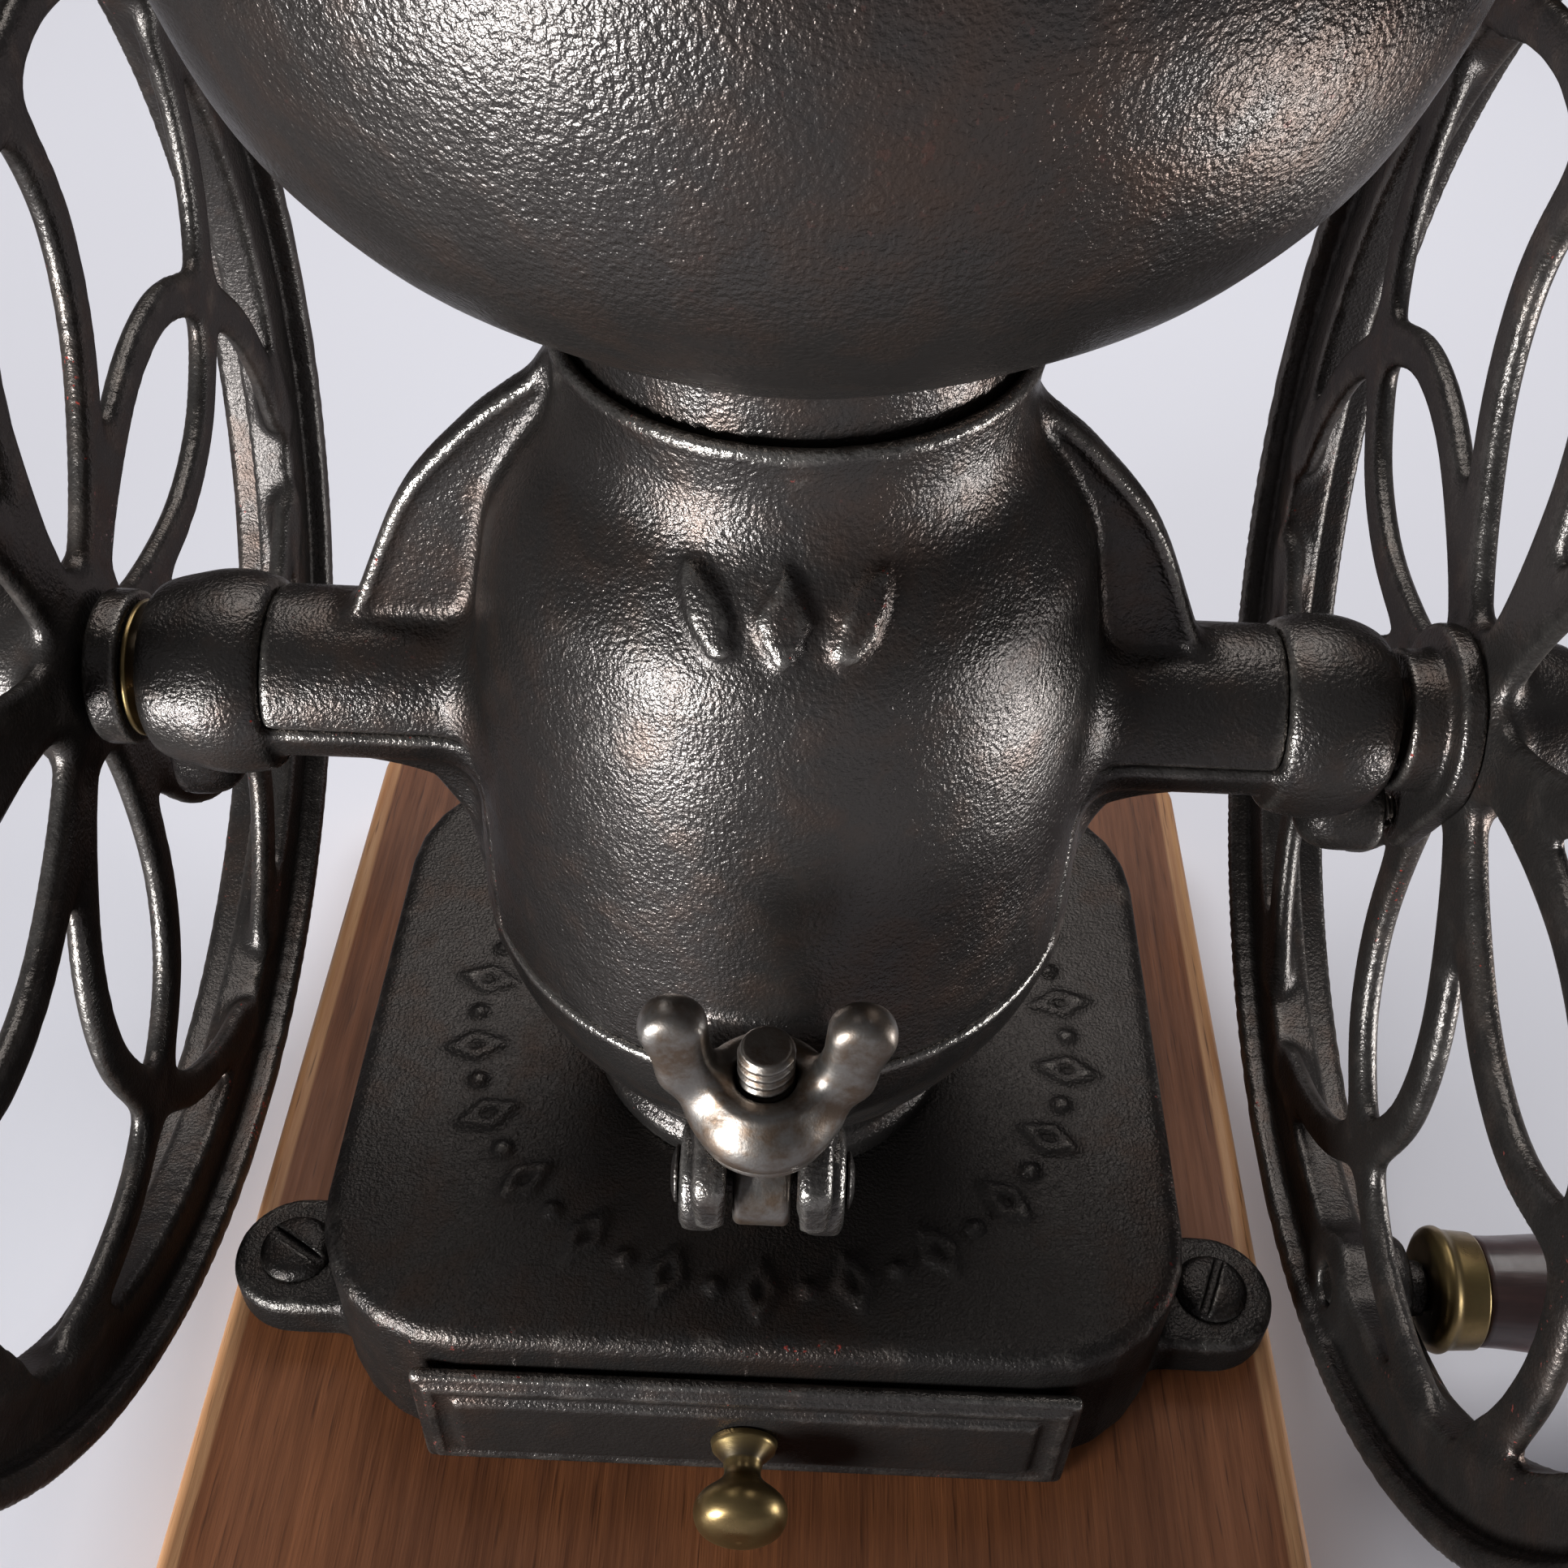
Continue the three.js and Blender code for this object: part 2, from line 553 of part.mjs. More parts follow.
// The thin cone that leads the beans from the throat to the feed screw
function makeFunnel() {
  const { neckRadius: r, neckTop: top, wall: thick } = funnel;
  const low = seatGap / 2;
  const mouth = [throatRadius, ledge - wall / 2];
  const cone = [mouth, [throatRadius + wall / 2, ledge - wall / 2], [r + thick, top], [r + thick, low]];
  return turned([...cone, [r, low], [r, top], mouth], sides.round, alongZ, bodyShift);
}

function makeWeb(side) {
  const points = scaled(webShares, webReach, 0, body.top - web.topDrop).map(([x, z]) => [z, side * x]);
  return chamfered(outlineShape(points), -web.halfThick, web.halfThick, web.edge, alongY);
}

// The saddle over the clamp lugs that the wing nut presses on, with its slot for the bolt
function makePad() {
  const { halfWidth: w, radius: r, slotHalfWidth: s } = pad;
  const across = (radius, half) => rod(radius, -half, half, sides.body, alongX, bodyShift, clampY, pinZ);
  const root = block(aroundBody(w), [clampY, wall / 2 - body.radius], [pinZ, pinZ + r * 0.8]);
  const [low, high] = [pinZ - r, pinZ + r + overrun];
  const front = clampY - r - overrun;
  const under = block(aroundBody(r * 2), [front, -body.radius - seatGap], [pinZ - r * 2, pinZ]);
  const flat = block(aroundBody(r * 2), [front, clampY - pad.front], [low, high]);
  const slot = block(aroundBody(s), [front, clampY], [low, high]);
  const slotEnd = rod(s, low, high, sides.round, alongZ, bodyShift, clampY);
  const lugRoom = across(clampLug.radius + seatGap, w + overrun);
  const eyeRoom = across(swingBolt.eyeRadius + 2 * runGap, s);
  return cut(join(across(r, w), root), lugRoom, under, flat, slot, slotEnd, eyeRoom);
}

function hingeHole(half) {
  return rod(hinge.pinRadius + runGap, -half, half, sides.small, alongX, bodyShift, hingeY, hingeZ);
}

function makeKnuckle() {
  const half = hinge.halfKnuckle;
  const round = rod(hinge.radius, -half, half, sides.round, alongX, bodyShift, hingeY, hingeZ);
  const heights = [seatGap / 2 - seamDrop, hingeZ + hinge.radius];
  const root = block(aroundBody(half), [body.radius - wall * 0.7, hingeY], heights);
  return cut(join(round, root), hingeHole(half + overrun));
}

// Lower casting

function makeLowerCase() {
  const high = -seatGap / 2;
  const lowHalf = below(high);
  const flange = [[neckRadius, footTop], [footRadius, footTop], [footRadius, footBottom], [0, footBottom]];
  const skin = [[0, high - seamDrop], [body.radius, high - seamDrop], ...bowl.slice(1), ...flange];
  const outside = turned(skin, sides.body, alongZ, bodyShift);
  const low = -seamDrop - overrun;
  const shoulder = [[0, low], [body.radius, low], ...egg.slice(1, 4), [0, egg[3][1]]];
  const dome = turned(shoulder, sides.body, alongZ, bodyShift);
  const cheeks = cheekSpace(0).map((space) => space.intersect(dome));
  const arms = armRods(armOuter).map((solid) => shifted(solid, 0, 0, arm.lowerRise).intersect(lowHalf));
  const gussets = [1, -1].map((side) => makeGusset(side).intersect(lowHalf));
  const shell = cut(join(outside, ...cheeks, ...arms, ...gussets), join(eggInside(), bowlInside()));
  const ends = [makeBulb(1), makeBulb(-1)];
  const fitted = join(shell, ...makeTrough(lowHalf), ...ends, ...makeClampLugs(), ...makeHingeLugs());
  const room = troughFrom + trough.web;
  const screwSpace = rod(trough.radius, room, troughTo - trough.endWall, sides.round, alongX);
  const feedHole = rod(burr.holeRadius, troughFrom - overrun, room + overrun, sides.round, alongX);
  const holes = footScrewHoles(footBottom - overrun, footTop + 2 * seatGap);
  return cut(fitted, boreThrough(), screwSpace, feedHole, ...holes);
}

function makeGusset(side) {
  const points = scaled(gussetShares, webReach, 0, -gusset.drop).map(([x, z]) => [z, side * x]);
  return extruded(outlineShape(points), -gusset.halfThick, gusset.halfThick, alongY);
}

// The half pipe under the feed screw and the cross wall that carries the fixed burr
function makeTrough(lowHalf) {
  const outer = trough.radius + trough.wall;
  const pipe = tube(outer, trough.radius, troughFrom, troughTo, sides.round, alongX);
  const end = rod(outer, troughTo - trough.endWall, troughTo, sides.round, alongX);
  const low = bowlRoom[bowlRoom.length - 1][1] - wall / 2;
  const [from, to] = [troughFrom, troughFrom + trough.web];
  const cross = block([from, to], around(trough.webHalfWidth), [low, -seatGap]);
  const archTop = -trough.webHalfWidth - wall;
  const arch = block([from - overrun, to + overrun], around(trough.radius), [low - overrun, archTop]);
  return [pipe.intersect(lowHalf), end.intersect(lowHalf), cut(cross, arch)];
}

// The round bearing end of an arm, with its lug below
function makeBulb(side) {
  const { neckRadius: neck, radius: r, endRadius, leftEndRadius } = bulb;
  const [end, rim] = side > 0 ? [rightEnd, endRadius] : [leftEnd, leftEndRadius];
  const crest = armOuter + bulb.crest;
  const back = end - crest;
  const front = [[0, armOuter], [neck, armOuter], [r * 0.99, (armOuter + crest) / 2], [r, crest]];
  const rear = [[r * 0.96, crest + back * 0.4], [r * 0.86, crest + back * 0.78], [rim, end], [0, end]];
  const ball = turned([...front, ...rear], sides.round, alongX);
  const { radius: l, edge } = lug;
  const [tip, rise] = side > 0 ? [lugTo, 0] : [leftEnd + seatGap, lug.leftRise];
  const boss = [[0, lugFrom], [l - edge, lugFrom], [l - edge * 0.3, lugFrom + edge * 0.3], [l, lugFrom + edge]];
  boss.push([l, tip - edge / 4], [l - edge / 4, tip], [0, tip]);
  const whole = join(ball, turned(boss, sides.small, alongX, 0, 0, rise - lugDrop));
  if (side < 0) return mirrored(whole);
  const bore = adjustScrew.radius + seatGap;
  return cut(whole, rod(bore, lugBoreFrom, lugTo + overrun, sides.small, alongX, 0, 0, -lugDrop));
}

// A pair of lugs on each side of the body's axis, with a hole for their pin
function lugPair(shape, near, far, hole) {
  return [1, -1].map((side) => {
    const [from, to] = ordered(bodyShift + side * near, bodyShift + side * far);
    return cut(extruded(shape, from, to, alongX, 8), hole(far + overrun));
  });
}

function makeClampLugs() {
  const r = clampLug.radius;
  const [root, rootZ] = [-bowl[2][0] * 0.92, bowl[2][1]];
  const top = -seamDrop - 2 * seatGap;
  const shape = new THREE.Shape();
  shape.moveTo(root, rootZ);
  shape.lineTo(clampY, pinZ - r * 1.25);
  shape.absarc(clampY, pinZ, r, Math.PI * 1.25, 0, true);
  shape.lineTo(clampY + r, top);
  shape.lineTo(root, top);
  return lugPair(shape, clampLug.inner, clampLug.outer, (half) => {
    return rod(clamp.pinRadius + runGap, -half, half, sides.small, alongX, bodyShift, clampY, pinZ);
  });
}

function makeHingeLugs() {
  const r = hinge.radius;
  const [root, rootZ] = [bowl[2][0] * 0.92, bowl[2][1]];
  const top = -seamDrop - 2 * seatGap;
  const shape = new THREE.Shape();
  shape.moveTo(root, rootZ);
  shape.lineTo(hingeY, hingeZ - r * 1.25);
  shape.absarc(hingeY, hingeZ, r, -Math.PI / 4, Math.PI, false);
  shape.lineTo(hingeY - r, top);
  shape.lineTo(root, top);
  const near = hinge.halfKnuckle + runGap;
  return lugPair(shape, near, near + hinge.lugWidth, hingeHole);
}

function footScrewPlaces() {
  return ring(footScrew.count, Math.PI / 4).map((angle) => {
    return [bodyShift + footScrewRing * Math.cos(angle), footScrewRing * Math.sin(angle)];
  });
}

function footScrewHoles(low, high) {
  const radius = footScrew.radius + seatGap;
  return footScrewPlaces().map(([x, y]) => rod(radius, low, high, sides.tiny, alongZ, x, y));
}

// They come up through the base from inside it
function makeFootScrews() {
  const depth = base.top + foot.thick + 2 * seatGap;
  return footScrewPlaces().map(([x, y], i) => {
    const upright = rolledX(slottedScrew(footScrew, depth), Math.PI);
    return shifted(rolledZ(upright, footScrew.turn * i), x, y, baseUnder - seatGap);
  });
}

// A pin with round heads, along X
function headedPin(radius, headRadius, headLength, halfSpan, y, z) {
  const end = halfSpan + seatGap;
  const tip = end + headLength;
  const head = [[headRadius, end], [headRadius, end + headLength / 2], [headRadius * 0.6, tip], [0, tip]];
  const half = [[radius, end], ...head];
  const other = half.map(([r, x]) => [r, -x]).reverse();
  return turned([...other, ...half], sides.round, alongX, bodyShift, y, z);
}

function makeHingePin() {
  const span = hinge.halfKnuckle + runGap + hinge.lugWidth;
  return headedPin(hinge.pinRadius, hinge.pinHead, hinge.pinHeadLength, span, hingeY, hingeZ);
}

function makeClampPin() {
  return headedPin(clamp.pinRadius, clamp.pinHead, clamp.pinHeadLength, clampLug.outer, clampY, pinZ);
}

// Clamp pieces

const clampWasherFrom = pinZ + pad.radius + seatGap;
const clampNutFrom = clampWasherFrom + washer.thick + seatGap;

function makeSwingBolt() {
  const { radius, eyeRadius, eyeHalfWidth: half, tipEdge, tipBeyond } = swingBolt;
  const tip = clampNutFrom + nut.height + tipBeyond - pinZ;
  const eye = rod(eyeRadius, -half, half, sides.smooth, alongX);
  const shank = tippedRod(radius, eyeRadius / 2, tip, tipEdge, sides.round, alongZ);
  const hole = rod(clamp.pinRadius + runGap, -half - overrun, half + overrun, sides.small, alongX);
  return shifted(cut(join(eye, shank), hole), bodyShift, clampY, pinZ);
}

function makeWasher() {
  const [bore, to] = [swingBolt.radius + runGap, clampWasherFrom + washer.thick];
  return tube(washer.radius, bore, clampWasherFrom, to, sides.round, alongZ, bodyShift, clampY);
}

function makeWingNut() {
  const { hubRadius: r, topRadius: t, height: h } = nut;
  const profile = [[0, 0], [r * 0.94, 0], [r, h * 0.12], [r, h * 0.42], [t * 1.15, h * 0.8], [t, h], [0, h]];
  const bore = rod(swingBolt.radius + runGap, -overrun, h + overrun, sides.round, alongZ);
  const whole = cut(join(turned(profile, sides.smooth), makeWing(1), makeWing(-1)), bore);
  return shifted(whole, bodyShift, clampY, clampNutFrom);
}

// One rounded wing, leaning outwards from the hub
function makeWing(side) {
  const { hubRadius: r, height: h, wingReach: reach, wingTop: top, wingHalfThick: t } = nut;
  const tip = reach * 0.3;
  const shape = new THREE.Shape();
  shape.moveTo(r * 0.3, h * 0.25);
  shape.lineTo(r * 0.95, h * 0.25);
  shape.quadraticCurveTo(reach * 0.88, h * 0.6, reach, top - tip * 1.1);
  shape.absarc(reach - tip, top - tip, tip, 0, Math.PI * 0.9);
  shape.lineTo(r * 0.55, h * 0.85);
  const bevel = { bevelThickness: t / 2, bevelSize: t / 2, bevelOffset: -t / 2, bevelSegments: 1 };
  const geometry = new THREE.ExtrudeGeometry(shape, { depth: t, curveSegments: 3, ...bevel });
  return solidOf(geometry.translate(0, 0, -t / 2).rotateX(Math.PI / 2).scale(side, 1, 1));
}

// Hopper and lid

function makeHopper() {
  const { wall: t, rimHeight } = hopper;
  const collarRadius = seatRadius - seatGap;
  const shell = scaled(hopperShares, hopper.radius, neckTop, rimTop);
  const rim = [[rimRadius - t / 2, rimTop - rimHeight], [rimRadius, rimTop - rimHeight / 2]];
  rim.push([rimRadius - t / 3, rimTop], [shell[shell.length - 1][0] - t, rimTop]);
  const room = shell.map(([r, z]) => [r - t, z + t * 0.25]).reverse();
  const [low, bore] = [ledge + seatGap, collarRadius - t];
  const neck = [[bore, neckTop + t * 0.4], [bore, low], [collarRadius, low]];
  const profile = [[collarRadius, low], [collarRadius, neckTop], ...shell, ...rim, ...room, ...neck];
  const bossLow = rimTop - rimHeight * 1.5;
  const round = rod(lidEar.radius, bossLow, rimTop, sides.round, alongZ, bodyShift, earReach);
  const root = block(aroundBody(lidEar.radius * 0.8), [rimRadius - t, earReach], [bossLow, rimTop]);
  const whole = join(turned(profile, sides.body, alongZ, bodyShift), round, root);
  return cut(whole, earHole(rimTop - rimHeight * 3, rimTop + overrun));
}

function earHole(from, to) {
  return rod(earBore, from, to, sides.small, alongZ, bodyShift, earReach);
}

function makeLid() {
  const { thick: t, crown: c, crownRadius: k } = lid;
  const radius = rimRadius - lid.inset;
  const outer = scaled(lidShares, radius, lidBottom, lidBottom + c);
  const inner = scaled(lidShares.slice(1), radius - t, lidBottom, lidBottom + c - t).reverse();
  const top = [[k, lidBottom + c], [0, lidBottom + c], [0, lidBottom + c - t]];
  const profile = [...outer, ...top, ...inner, [radius - t, lidBottom], [radius, lidBottom]];
  const earTopZ = lidBottom + lidEar.thick;
  const round = rod(lidEar.radius, lidBottom, earTopZ, sides.round, alongZ, bodyShift, earReach);
  const root = block(aroundBody(lidEar.radius), [radius - t, earReach], [lidBottom, earTopZ]);
  const whole = join(turned(profile, sides.body, alongZ, bodyShift), round, root);
  const knobBore = lidKnob.neckRadius / 2 + runGap;
  const knobHole = rod(knobBore, lidBottom, lidBottom + c + overrun, sides.small, alongZ, bodyShift);
  return cut(whole, knobHole, earHole(lidBottom - overrun, earTopZ + overrun));
}

function makeLidKnob() {
  const { neckRadius: n, radius: r, height: h } = lidKnob;
  const shank = [[0, -lid.thick * 2], [n / 2, -lid.thick * 2], [n / 2, 0], [n * 1.8, 0], [n, h * 0.2]];
  const crown = [[r * 0.9, h * 0.42], [r, h * 0.6], [r * 0.75, h * 0.86], [r * 0.3, h * 0.97], [0, h]];
  return turned([...shank, ...crown], sides.round, alongZ, bodyShift, 0, lidBottom + lid.crown + seatGap);
}

function makePivotScrew() {
  const depth = hopper.rimHeight + lidEar.thick + seatGap;
  return shifted(slottedScrew(pivotScrew, depth), bodyShift, earReach, lidBottom + lidEar.thick + seatGap);
}

// Wheels

function makeWheel() {
  const { radius: r, rimThick, ringWidth } = wheel;
  const edge = rimThick / 4;
  const band = r - rimThick;
  const inner = band - ringWidth;
  const web = [[inner, wheelFace], [band, wheelFace], [band, rimFrom]];
  const outside = [[r - edge, rimFrom], [r, rimFrom + edge], [r, rimTo - edge], [r - edge, rimTo]];
  const back = [[band, rimTo], [band, wheelBack], [inner + edge, wheelBack], [inner, wheelFace]];
  return join(turned([...web, ...outside, ...back], sides.wheel), ...petalRods());
}

// Two mirrored rods make each petal; they cross and run out into the ring
function petalRods() {
  const path = (side) => new THREE.CatmullRomCurve3(
    rodShares.map(([u, v]) => new THREE.Vector3(u * wheel.radius, side * v * wheel.radius, 0)),
  );
  const [w, t] = [wheel.rodHalfWidth, wheel.rodDepth];
  const section = outlineShape([[0, -w], [0, w], [-t, w * 0.5], [-t, -w * 0.5]]);
  const angles = ring(wheel.petals, THREE.MathUtils.degToRad(wheel.firstPetal));
  return angles.flatMap((angle) => [1, -1].map((side) => {
    const settings = { steps: 8, extrudePath: path(side), bevelEnabled: false };
    const geometry = new THREE.ExtrudeGeometry(section, settings);
    return solidOf(geometry.rotateZ(angle).translate(0, 0, wheelFace));
  }));
}

function makeHub(inner) {
  const { radius: r, faceRadius } = hub;
  const out = [[r, wheelFace + seatGap], [r, wheelBack], [r * 0.88, hubOuter], [0, hubOuter]];
  return turned([[0, inner], [faceRadius, inner], ...out], sides.smooth);
}

function makeSideWheel(side) {
  const inner = side > 0 ? hubInner : hubInnerLeft;
  const bore = rod(shaft.radius + seatGap, inner - overrun, hubOuter + overrun, sides.smooth, alongZ);
  const plain = cut(join(makeWheel(), makeHub(inner)), bore);
  if (side < 0) return mirrored(moved(plain, alongX));
  const boss = rod(crank.bossRadius, wheelFace + seatGap, bossEnd, sides.smooth, alongZ, crankY, crankZ);
  const pinBore = crank.pinRadius + seatGap;
  const hole = rod(pinBore, wheelFace - overrun, bossEnd + overrun, sides.small, alongZ, crankY, crankZ);
  return moved(cut(join(plain, boss), hole), alongX);
}

function makeHubNut(side) {
  const to = nutFrom + hubNut.thick;
  const r = hubNut.cornerRadius;
  const corners = ring(hubNut.corners).map((a) => [r * Math.cos(a), r * Math.sin(a)]);
  const whole = chamfered(outlineShape(corners), nutFrom, to, hubNut.thick / 8, alongX);
  const bore = rod(shaft.radius + seatGap, nutFrom - overrun, to + overrun, sides.smooth, alongX);
  const solid = cut(whole, bore);
  return side > 0 ? solid : mirrored(solid);
}

function makeShaft() {
  const [r, h, edge] = [shaft.radius, shaftEnd, shaft.radius / 8];
  const profile = [[0, -h], [r - edge, -h], [r, -h + edge], [r, h - edge], [r - edge, h], [0, h]];
  return turned(profile, sides.smooth, alongX);
}

// Feed screw and burrs

function makeFeedScrew() {
  const { coreRadius, ridgeHalfWidth: half, clearance, turns, stepsPerTurn } = feedScrew;
  const from = troughFrom + trough.web + feedScrew.startGap;
  const to = troughTo - trough.endWall - feedScrew.endGap;
  const radius = trough.radius - clearance - half;
  const steps = turns * stepsPerTurn;
  const margin = half * 1.5;
  const points = Array.from({ length: steps + 1 }, (_, i) => {
    const angle = (i * 2 * Math.PI) / stepsPerTurn;
    const along = from + margin + ((to - from - 2 * margin) * i) / steps;
    return new THREE.Vector3(along, radius * Math.cos(angle), radius * Math.sin(angle));
  });
  const section = outlineShape(ring(4).map((a) => [half * Math.cos(a), half * Math.sin(a)]));
  const extrudePath = new THREE.CatmullRomCurve3(points);
  const ridge = solidOf(new THREE.ExtrudeGeometry(section, { steps, extrudePath, bevelEnabled: false }));
  const core = rod(coreRadius, from, to, sides.smooth, alongX);
  const bore = rod(shaft.radius + seatGap, from - overrun, to + overrun, sides.smooth, alongX);
  return cut(join(core, ridge), bore);
}

// Straight grooves across one face of a burr
function burrGrooves(x0, x1) {
  return ring(burr.teeth).map((angle) => {
    const reach = [burr.holeRadius - overrun, burr.radius + overrun];
    return rolledX(block([x0, x1], around(burr.toothWidth / 2), reach), angle);
  });
}

function makeFixedBurr() {
  const whole = tube(burr.radius, burr.holeRadius, fixedBurrLeft, fixedBurrRight, sides.round, alongX);
  return cut(whole, ...burrGrooves(fixedBurrLeft - overrun, fixedBurrLeft + burr.toothDepth));
}

function makeTurningBurr() {
  const bore = shaft.radius + seatGap;
  const whole = tube(burr.radius, bore, turningBurrLeft, turningBurrRight, sides.round, alongX);
  return cut(whole, ...burrGrooves(turningBurrRight - burr.toothDepth, turningBurrRight + overrun));
}

// Bearings and adjustment

function makeBush(side) {
  const to = (side > 0 ? rightEnd : leftEnd) - bush.inset;
  const solid = tube(bush.radius, shaft.radius + runGap, body.radius + bush.beyond, to, sides.round, alongX);
  return side > 0 ? solid : mirrored(solid);
}

function makeCollar() {
  const [from, to] = [collarFrom, hubInnerLeft - seatGap];
  const { radius: r, edge } = collar;
  const profile = [[r - edge, from], [r, from + edge], [r, to - edge], [r - edge, to]];
  return mirrored(turnedRing(shaft.radius + seatGap, profile, sides.round, alongX));
}

function makeThrustWasher() {
  const to = washerFrom + thrustWasher.thick;
  return mirrored(tube(thrustWasher.radius, shaft.radius + seatGap, washerFrom, to, sides.round, alongX));
}

// The pear-shaped plate that the adjusting screw pushes against the right wheel's hub
function makePlate() {
  const { radius, bossRadius, earRadius, earRise, thick } = plate;
  const earDrop = lugDrop - earRise;
  const lean = Math.asin((radius - earRadius) / earDrop);
  const shape = new THREE.Shape();
  shape.absarc(0, 0, radius, -lean, Math.PI + lean);
  shape.absarc(0, -earDrop, earRadius, Math.PI + lean, 2 * Math.PI - lean);
  const disc = chamfered(shape, plateFace, plateBack, thick / 5, alongX, 6);
  const boss = rod(bossRadius, plateFrom, plateFace + thick / 2, sides.smooth, alongX);
  const bore = rod(shaft.radius + runGap, plateFrom - overrun, plateBack + overrun, sides.smooth, alongX);
  const far = plateBack + overrun;
  const keyHole = rod(plate.keyRadius, plateFace - overrun, far, sides.tiny, alongX, 0, 0, -lugDrop);
  return cut(join(disc, boss), bore, keyHole);
}

// A headless screw out of the right lug; its slot is reached through the plate's ear
function makeAdjustScrew() {
  const tip = plateFace - seatGap;
  const from = lugBoreFrom + adjustTravel + runGap;
  const { radius: r, slotWidth, slotDepth } = adjustScrew;
  const profile = [[0, from], [r, from], [r, tip - seatGap], [r * 0.9, tip], [0, tip]];
  const slot = block([tip - slotDepth, tip + overrun], around(r + overrun), around(slotWidth / 2));
  return shifted(cut(turned(profile, sides.round, alongX), slot), 0, 0, -lugDrop);
}

// Crank handle

function makeCrankPin() {
  const { pinRadius: p, collarRadius: c, collarLength: l } = crank;
  const { headRadius: h, headLength: k, slotWidth, slotDepth } = crankPin;
  const end = gripFrom + grip.length + runGap;
  const shank = [[0, wheelFace], [p, wheelFace], [p, crankSeat]];
  const flange = [[c * 0.92, crankSeat], [c, crankSeat + l * 0.3], [c, crankSeat + l], [p, crankSeat + l]];
  const head = [[p, end], [h, end], [h, end + k * 0.4], [h * 0.6, end + k], [0, end + k]];
  const slot = block([end + k - slotDepth, end + k + overrun], around(h + overrun), around(slotWidth / 2));
  return shifted(cut(turned([...shank, ...flange, ...head], sides.round, alongX), slot), 0, crankY, crankZ);
}

function makeFerrule() {
  const { length: l, radius: r, lip } = ferrule;
  const profile = [[r * 0.9, 0], [lip * 0.96, l * 0.1], [lip, l * 0.25], [r, l * 0.4], [r * 0.97, l]];
  return turnedRing(crank.pinRadius + runGap, profile, sides.round, alongX, ferruleFrom, crankY, crankZ);
}

function makeGrip() {
  const profile = scaled(gripShares, grip.radius, 0, grip.length);
  return turnedRing(crank.pinRadius + runGap, profile, sides.round, alongX, gripFrom, crankY, crankZ);
}

// Assembly

const group = new THREE.Group();
const works = new THREE.Group();
works.position.z = shaftHeight;
group.add(works);

function place(name, solid, material) {
  const mesh = new THREE.Mesh(geometryOf(solid), material);
  mesh.name = name;
  works.add(mesh);
}

place('wood_board', makeBoard(), boardWood);
place('base_casting', makeBase(), dullIron);
makeBaseScrews().forEach((solid, i) => place(`base_screw_${i + 1}`, solid, dullIron));
place('drawer_box', makeDrawerBox(), dullIron);
place('drawer_front', makeDrawerFront(), blackIron);
place('drawer_knob', makeDrawerKnob(), brass);
place('lower_case', makeLowerCase(), blackIron);
makeFootScrews().forEach((solid, i) => place(`foot_screw_${i + 1}`, solid, dullIron));
place('upper_case', makeUpperCase(), blackIron);
place('hinge_pin', makeHingePin(), dullIron);
place('clamp_pin', makeClampPin(), dullIron);
place('swing_bolt', makeSwingBolt(), wornSteel);
place('clamp_washer', makeWasher(), wornSteel);
place('wing_nut', makeWingNut(), wornSteel);
place('hopper', makeHopper(), blackIron);
place('hopper_lid', makeLid(), blackIron);
place('lid_knob', makeLidKnob(), brass);
place('lid_pivot_screw', makePivotScrew(), wornSteel);
place('shaft', makeShaft(), wornSteel);
place('left_wheel', makeSideWheel(-1), blackIron);
place('right_wheel', makeSideWheel(1), blackIron);
place('left_hub_nut', makeHubNut(-1), dullIron);
place('right_hub_nut', makeHubNut(1), dullIron);
place('left_bush', makeBush(-1), brass);
place('right_bush', makeBush(1), brass);
place('left_collar', makeCollar(), blackIron);
place('thrust_washer', makeThrustWasher(), brass);
place('feed_screw', makeFeedScrew(), wornSteel);
place('fixed_burr', makeFixedBurr(), wornSteel);
place('turning_burr', makeTurningBurr(), wornSteel);
place('adjusting_plate', makePlate(), blackIron);
place('adjusting_screw', makeAdjustScrew(), wornSteel);
place('crank_pin', makeCrankPin(), dullIron);
place('grip_ferrule', makeFerrule(), brass);
place('crank_grip', makeGrip(), gripWood);

export default group;
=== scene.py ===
import math

import bmesh
import bpy
import numpy as np
from mathutils import Euler, Matrix, Vector


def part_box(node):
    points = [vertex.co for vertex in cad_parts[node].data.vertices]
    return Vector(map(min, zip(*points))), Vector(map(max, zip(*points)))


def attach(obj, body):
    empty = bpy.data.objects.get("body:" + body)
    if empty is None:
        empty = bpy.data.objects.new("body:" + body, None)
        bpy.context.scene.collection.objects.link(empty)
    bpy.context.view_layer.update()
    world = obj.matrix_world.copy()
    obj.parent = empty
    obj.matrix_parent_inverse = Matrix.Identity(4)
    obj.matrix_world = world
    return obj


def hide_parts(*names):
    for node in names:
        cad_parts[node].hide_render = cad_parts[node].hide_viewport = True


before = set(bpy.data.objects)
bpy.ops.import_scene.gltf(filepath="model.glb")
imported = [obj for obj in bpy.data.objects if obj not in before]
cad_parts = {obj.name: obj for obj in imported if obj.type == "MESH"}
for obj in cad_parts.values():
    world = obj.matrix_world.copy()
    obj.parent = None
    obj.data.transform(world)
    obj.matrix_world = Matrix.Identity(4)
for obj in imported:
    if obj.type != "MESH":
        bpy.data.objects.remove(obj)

bl_info = {
    "name": "Two wheel coffee mill",
    "version": (1, 0, 0),
    "blender": (4, 5, 0),
    "location": "3D view, sidebar, Mill",
    "description": "Dresses a cast iron coffee mill: castings, wheels, clamp, hopper, drawer and board",
    "category": "Object",
}

